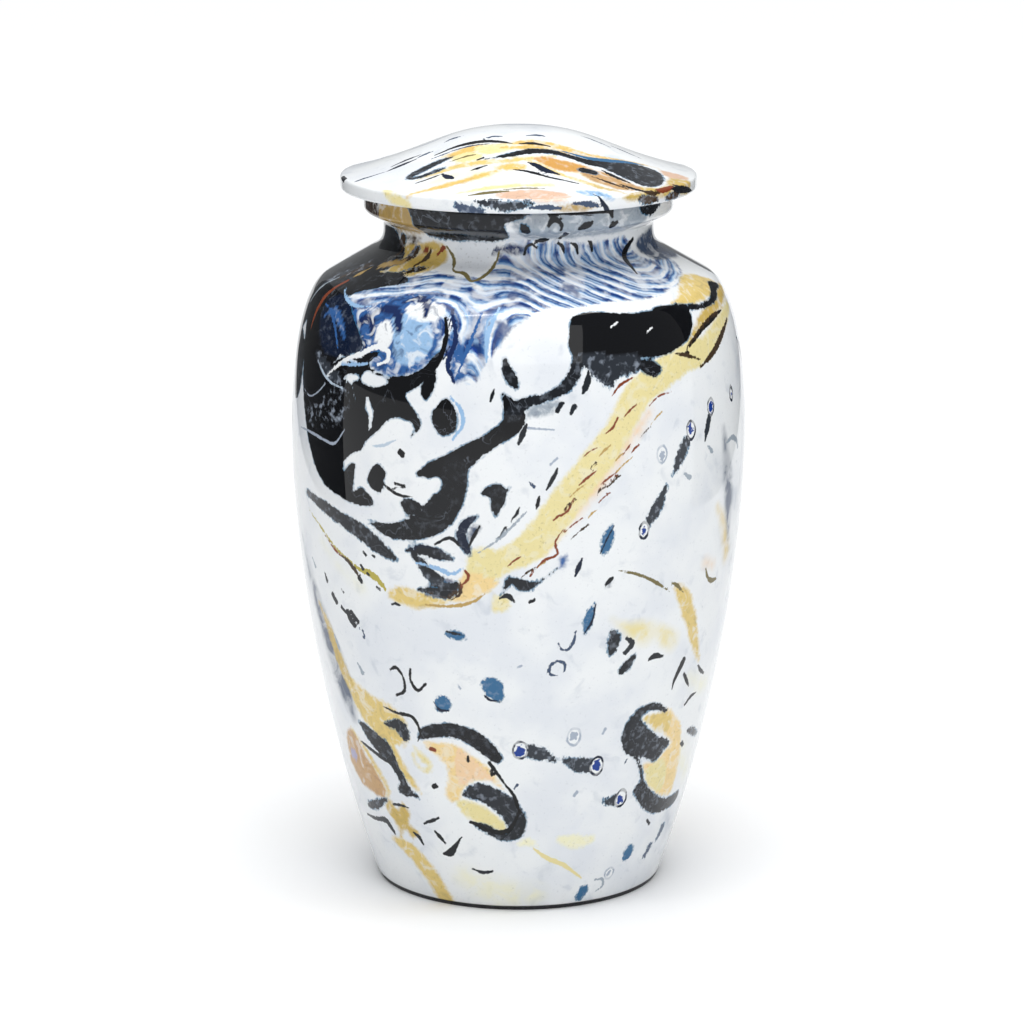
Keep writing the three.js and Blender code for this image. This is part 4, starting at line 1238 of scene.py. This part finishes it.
def marbled_print():
    graph = Graph("marbled_print")
    wobble = (graph.noise(4) - 0.5) * 1.1 + (graph.noise(1.2) - 0.5) * 0.9
    cloud = graph.noise(26, 3)
    grain = graph.noise(0.9, 3)
    patchy = graph.noise(7, 4, twist=0.6)

    # Ground, with its clouds and washes, some washes being painted shade on the flanks
    colour = graph.mix(graph.steps(cloud, 0.42, 0.68), "white", "ice")
    colour = graph.mix(graph.steps(patchy, 0.56, 0.76, 0, 0.3), colour, "mist")
    strength = graph.attribute("wash", "Alpha") * graph.steps(patchy, 0.36, 0.62, 0.4, 1)
    colour = graph.mix(strength, colour, graph.attribute("wash", "Color"))
    colour = graph.mix(graph.steps(grain, 0.6, 0.8, 0, 0.16), colour, "slate")

    # Combed bands of blue and white, crossed by finer threads
    past, phase, _ = graph.parts(graph.attribute("swirl", "Vector"))
    bent = phase + graph.noise(14) * 5 + wobble * 0.7
    bands = graph.ramp(graph.math("FRACT", bent / BAND_PERIOD), [
        (0, "white"), (0.14, "white"), (0.26, "sky"), (0.42, "blue"), (0.58, "navyblue"), (0.7, "navyblue"),
        (0.76, "royal"), (0.84, "sky"), (0.9, "white"),
    ])
    threads = graph.ramp(graph.math("FRACT", bent / THREAD_PERIOD), [
        (0, "white"), (0.3, "sky"), (0.55, "blue"), (0.65, "navyblue"), (0.8, "sky"),
    ])
    bands = graph.mix(graph.steps(graph.noise(6, 3), 0.42, 0.62, 0, 0.6), bands, threads)
    bands = graph.mix(graph.steps(patchy, 0.46, 0.66, 0, 0.7), bands, "ice")
    bands = graph.mix(graph.steps(graph.noise(8, 3), 0.54, 0.7, 0, 0.75), bands, "navyblue")
    colour = graph.mix(graph.steps(past + wobble * 2.5, -1.2, 0.6, 1, 0), colour, bands)

    # Coloured areas
    tint = graph.attribute("under_colour", "Color")
    rich = graph.attribute("under_colour", "Alpha")
    marble = graph.noise(4.5, 4, twist=1)
    tint = graph.mix(graph.steps(marble, 0.5, 0.68, 0, 0.8) * rich, tint, "white")
    tint = graph.mix(graph.steps(marble, 0.46, 0.3, 0, 0.75) * rich ** 3, tint, "navy")
    tint = graph.mix(graph.steps(grain, 0.56, 0.8, 0, 0.3), tint, "umber")
    edge = graph.attribute("under") + wobble * 1.8
    colour = graph.mix(graph.steps(edge, -1.5, 0.5, 1, 0), colour, tint)

    # Black and charcoal, with a teal fringe, fine light veins and worn spots
    ragged = graph.attribute("ink_colour", "Alpha")
    bristle = graph.noise(0.8, 3, stretch=(1, 1, 1.6)) - 0.5
    edge = graph.attribute("ink") + wobble + bristle * (ragged * 3 + 0.7)
    fringe = graph.steps(edge, 0.15, 0.7, 1, 0) * graph.steps(patchy, 0.4, 0.6, 0.2, 0.8)
    colour = graph.mix(fringe, colour, "teal")
    vein = graph.steps(abs(graph.noise(13, 4, twist=1.2) - 0.5), 0, 0.012, 0.22, 0)
    ink = graph.mix(vein * graph.steps(cloud, 0.45, 0.6), graph.attribute("ink_colour", "Color"), "mist")
    worn = graph.steps(graph.noise(2.2, 4), 0.5, 0.72, 0, 0.75) * ragged
    colour = graph.mix(graph.steps(edge, -0.14, 0.14, 1, 0), colour, graph.mix(worn, ink, "mist"))

    # Thin lines
    for name in ("trace", "line"):
        side, width, away = graph.parts(graph.attribute(name, "Vector"))
        edge = graph.math("MAXIMUM", abs(side) - width, away - width - LINE_END) + wobble * 0.6
        edge = edge + bristle * graph.attribute(name + "_colour", "Alpha") * 1.6
        line_colour = graph.attribute(name + "_colour", "Color")
        colour = graph.mix(graph.steps(edge, -0.16, 0.16, 1, 0), colour, line_colour)

    # Drops, each with a ring round a heart in a white band
    for name, ring, heart, soft in (("pale_drop", "mist", "mist", 0.2), ("drop", "deep", "royal", 0.12)):
        edge = graph.attribute(name) + wobble * 0.6
        inner = graph.mix(graph.steps(edge + wobble * 2.2, -1.35, -1, 1, 0), "white", heart)
        broken = graph.steps(graph.noise(3.4), 0.4, 0.55, 0.45, 1)
        inner = graph.mix(graph.steps(edge, -0.75, -0.55) * broken, inner, ring)
        colour = graph.mix(graph.steps(edge, -soft, soft, 1, 0), colour, inner)

    return graph.shade(colour=colour, roughness=0.6, specular=0, coat=1, coat_ior=1.38, coat_roughness=0.03)


def bare_metal():
    graph = Graph("bare_metal")
    colour = graph.mix(graph.steps(graph.noise(3, 4), 0.3, 0.7), (0.42, 0.42, 0.41, 1), (0.56, 0.56, 0.55, 1))
    roughness = graph.steps(graph.noise(1.5, 3), 0.3, 0.7, 0.42, 0.6)
    return graph.shade(colour=colour, metallic=1, roughness=roughness)


def felt():
    graph = Graph("felt")
    colour = graph.mix(
        graph.steps(graph.noise(0.8, 4), 0.3, 0.7), (0.012, 0.012, 0.014, 1), (0.035, 0.035, 0.04, 1))
    return graph.shade(colour=colour, roughness=1, sheen=0.4)


# Pieces


def vessel_swirl(canvas):
    """The combed bands' edge and phase: arcs round one middle on the left, and round another on the right."""
    past = np.full(len(canvas.along), FAR)
    chosen, distance = canvas.patch(SWIRL)
    past[chosen] = distance
    t = np.clip((canvas.across - SWIRL_TURN[0]) / (SWIRL_TURN[1] - SWIRL_TURN[0]), 0, 1)
    share = t * t * (3 - 2 * t)
    outwards = canvas.distance_from(SWIRL_LEFT)
    inwards = SWIRL_REACH - canvas.distance_from([SWIRL_RIGHT, SWIRL_RIGHT])
    return np.stack([past, outwards * (1 - share) + inwards * share, np.zeros(len(past))], axis=1)


def band_dashes():
    """The dashes along the yellow band, as thin lines in rust, brown and ochre by turns."""
    dashes = []
    for number, (azimuth, height) in enumerate(BAND_DASHES):
        reach = 1 + 0.4 * (number % 4)
        dashes.append((("rust", "umber", "ochre")[number % 3], [
            (azimuth - reach, height - reach, 0.15), (azimuth, height + 0.3, 0.35),
            (azimuth + reach, height + reach, 0.15)]))
    return dashes


def vessel():
    chain = section_of("vessel")
    last = np.flatnonzero(chain[:, 1] > chain[:, 1].max() - 0.01)[-1]
    mouth = chain[last]

    def step(index):
        if index == 0:
            return UNDERSIDE_STEP
        return WALL_STEP if index < last else INSIDE_STEP

    rows = refine(chain, step)
    first_row, last_row = row_at(rows, chain[1]), row_at(rows, mouth)
    order = np.arange(len(rows))
    painted = (order >= first_row) & (order <= last_row)
    piece = turned("vessel_print", rows, painted, [PRINT, METAL])

    lengths = np.concatenate([[0], np.cumsum(np.linalg.norm(np.diff(rows, axis=0), axis=1))])
    lengths -= lengths[first_row]
    outside = painted & (rows[:, 0] > mouth[0] + 1)
    row = row_of_vertices(rows)
    azimuth = np.concatenate([np.tile(column_angles(), len(rows) - 2), [0, 0]])
    azimuth = (azimuth + 180) % 360 - 180
    mm_per_degree = np.maximum(rows[row, 0], 1) * radians(1)

    def to_along(height):
        return np.interp(height, rows[outside, 1], lengths[outside])

    # The back takes the front's print, turned half way round the urn, narrower and slid down in the middle.
    along = np.where(painted[row], lengths[row], UNPAINTED)
    slide = BACK_SLIDE * np.sin(np.pi * np.clip(lengths[row] / lengths[last_row], 0, 1))
    turned_azimuth = BACK_SQUEEZE * ((azimuth + 360) % 360 - 180)
    front = Canvas(azimuth, along, mm_per_degree, to_along)
    back = Canvas(turned_azimuth, along + slide, mm_per_degree / BACK_SQUEEZE, to_along)
    strokes = (VESSEL_BLACK, VESSEL_UNDER, VESSEL_LINES + band_dashes(), VESSEL_WASHES, VESSEL_CUTS,
               VESSEL_DROPS, VESSEL_PALE_DROPS, vessel_swirl)
    paint(piece, joined(layers_of(front, *strokes), layers_of(back, *strokes)))
    return piece


def lid():
    chain = section_of("lid")
    collar = np.flatnonzero(chain[:, 0] > LID_RIM_RADIUS)[0] - 1
    rows = refine(chain, lambda index: COLLAR_STEP if index < collar else LID_STEP)
    past_collar = np.arange(len(rows)) - row_at(rows, chain[collar])
    painted = (past_collar > 0) & ((rows[:, 0] > PRINT_EDGE_RADIUS) | (past_collar > RIM_ROWS))
    piece = turned("lid_print", rows, painted, [PRINT, METAL])
    places = np.array([vertex.co for vertex in piece.data.vertices]) / MM

    # The rim's side lies on the canvas as a ring outside the top, as wide as the side is high.
    edge = rows[:, 0].max()
    top = rows[np.flatnonzero(rows[:, 0] > edge - 0.6)[-1], 1]
    radius = np.hypot(places[:, 0], places[:, 1])
    below = edge - radius + np.clip(top - places[:, 2], 0, None)
    stretch = 1 + np.where(radius > edge - 1.2, below, 0) / np.maximum(radius, 1)
    along = np.where(painted[row_of_vertices(rows)], places[:, 1] * stretch, UNPAINTED)
    canvas = Canvas(places[:, 0] * stretch, along, np.ones(len(along)), lambda y: y)
    paint(piece, layers_of(canvas, LID_BLACK, LID_UNDER, LID_LINES, LID_WASHES))
    return piece


def felt_pad():
    rows = refine(section_of("felt_pad"), lambda index: PAD_STEP)
    return turned("felt_pad_cloth", rows, np.zeros(len(rows), dtype=bool), [FELT])


PRINT = marbled_print()
METAL = bare_metal()
FELT = felt()

for make, node, slot in ((vessel, "vessel", "marbled_print"), (lid, "lid", "marbled_print"),
                         (felt_pad, "felt_pad", "black_felt")):
    piece = make()
    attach(piece, "root")
    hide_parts(node)


# Surroundings


def card(name, corners, colour, roughness, specular):
    mesh = bpy.data.meshes.new(name)
    mesh.from_pydata(corners, [], [(0, 1, 2, 3)])
    mesh.materials.append(Graph(name).shade(colour=(*colour, 1), roughness=roughness, specular=specular))
    return add_object(name, mesh)


def floor():
    corners = [(-FLOOR_REACH, -FLOOR_REACH, 0), (FLOOR_REACH, -FLOOR_REACH, 0),
               (FLOOR_REACH, FLOOR_REACH, 0), (-FLOOR_REACH, FLOOR_REACH, 0)]
    return card("floor", corners, (0.85, 0.855, 0.86), 0.8, 0.1)


def flag(name, x):
    """A dark card beside the urn, outside the picture, that keeps light off its flank."""
    low, high, depth = FLAG_LOW, FLAG_HIGH, FLAG_DEPTH
    corners = [(x, 0, low), (x, depth, low), (x, depth, high), (x, 0, high)]
    obj = card(name, corners, (0.12, 0.125, 0.13), 0.9, 0.5)
    obj.visible_camera = False
    obj.visible_shadow = False
    return obj


def overhead(power):
    """Soft light from straight above, equally strong all over the floor."""
    light = bpy.data.lights.new("overhead", "SUN")
    light.energy = power
    light.angle = radians(60)
    return add_object("overhead", light)


def panel(name, place, size, power):
    """A rectangle of light that faces the middle of the urn."""
    light = bpy.data.lights.new(name, "AREA")
    light.shape = "RECTANGLE"
    light.size, light.size_y = size
    light.energy = power
    obj = add_object(name, light)
    obj.location = place
    obj.rotation_euler = (Vector(URN_MIDDLE) - Vector(place)).to_track_quat("-Z", "Y").to_euler()
    return obj


floor()
flag("flag_left", -FLAG_PLACE)
flag("flag_right", FLAG_PLACE)
overhead(2.75)
panel("front", (0.27, -1.55, 1.0), (1.5, 0.9), 6)
panel("strip", (0.1, -0.45, 1.6), (1.5, 0.1), 6)

world = bpy.data.worlds.new("studio")
world.use_nodes = True
background = world.node_tree.nodes["Background"]
background.inputs["Color"].default_value = (0.96, 0.98, 1.0, 1)
background.inputs["Strength"].default_value = 0.32
bpy.context.scene.world = world
bpy.context.scene.view_settings.view_transform = "Standard"

camera_data = bpy.data.cameras.new("camera")
camera_data.sensor_width = SENSOR_WIDTH
camera_data.lens = FOCAL_PIXELS / PHOTO_PIXELS * SENSOR_WIDTH
camera_data.shift_x = SHIFT_PIXELS / PHOTO_PIXELS
camera_data.clip_end = 50
camera = add_object("camera", camera_data)
camera.location = CAMERA_PLACE
camera.rotation_euler = (radians(90 - CAMERA_PITCH), 0, 0)
bpy.context.scene.camera = camera
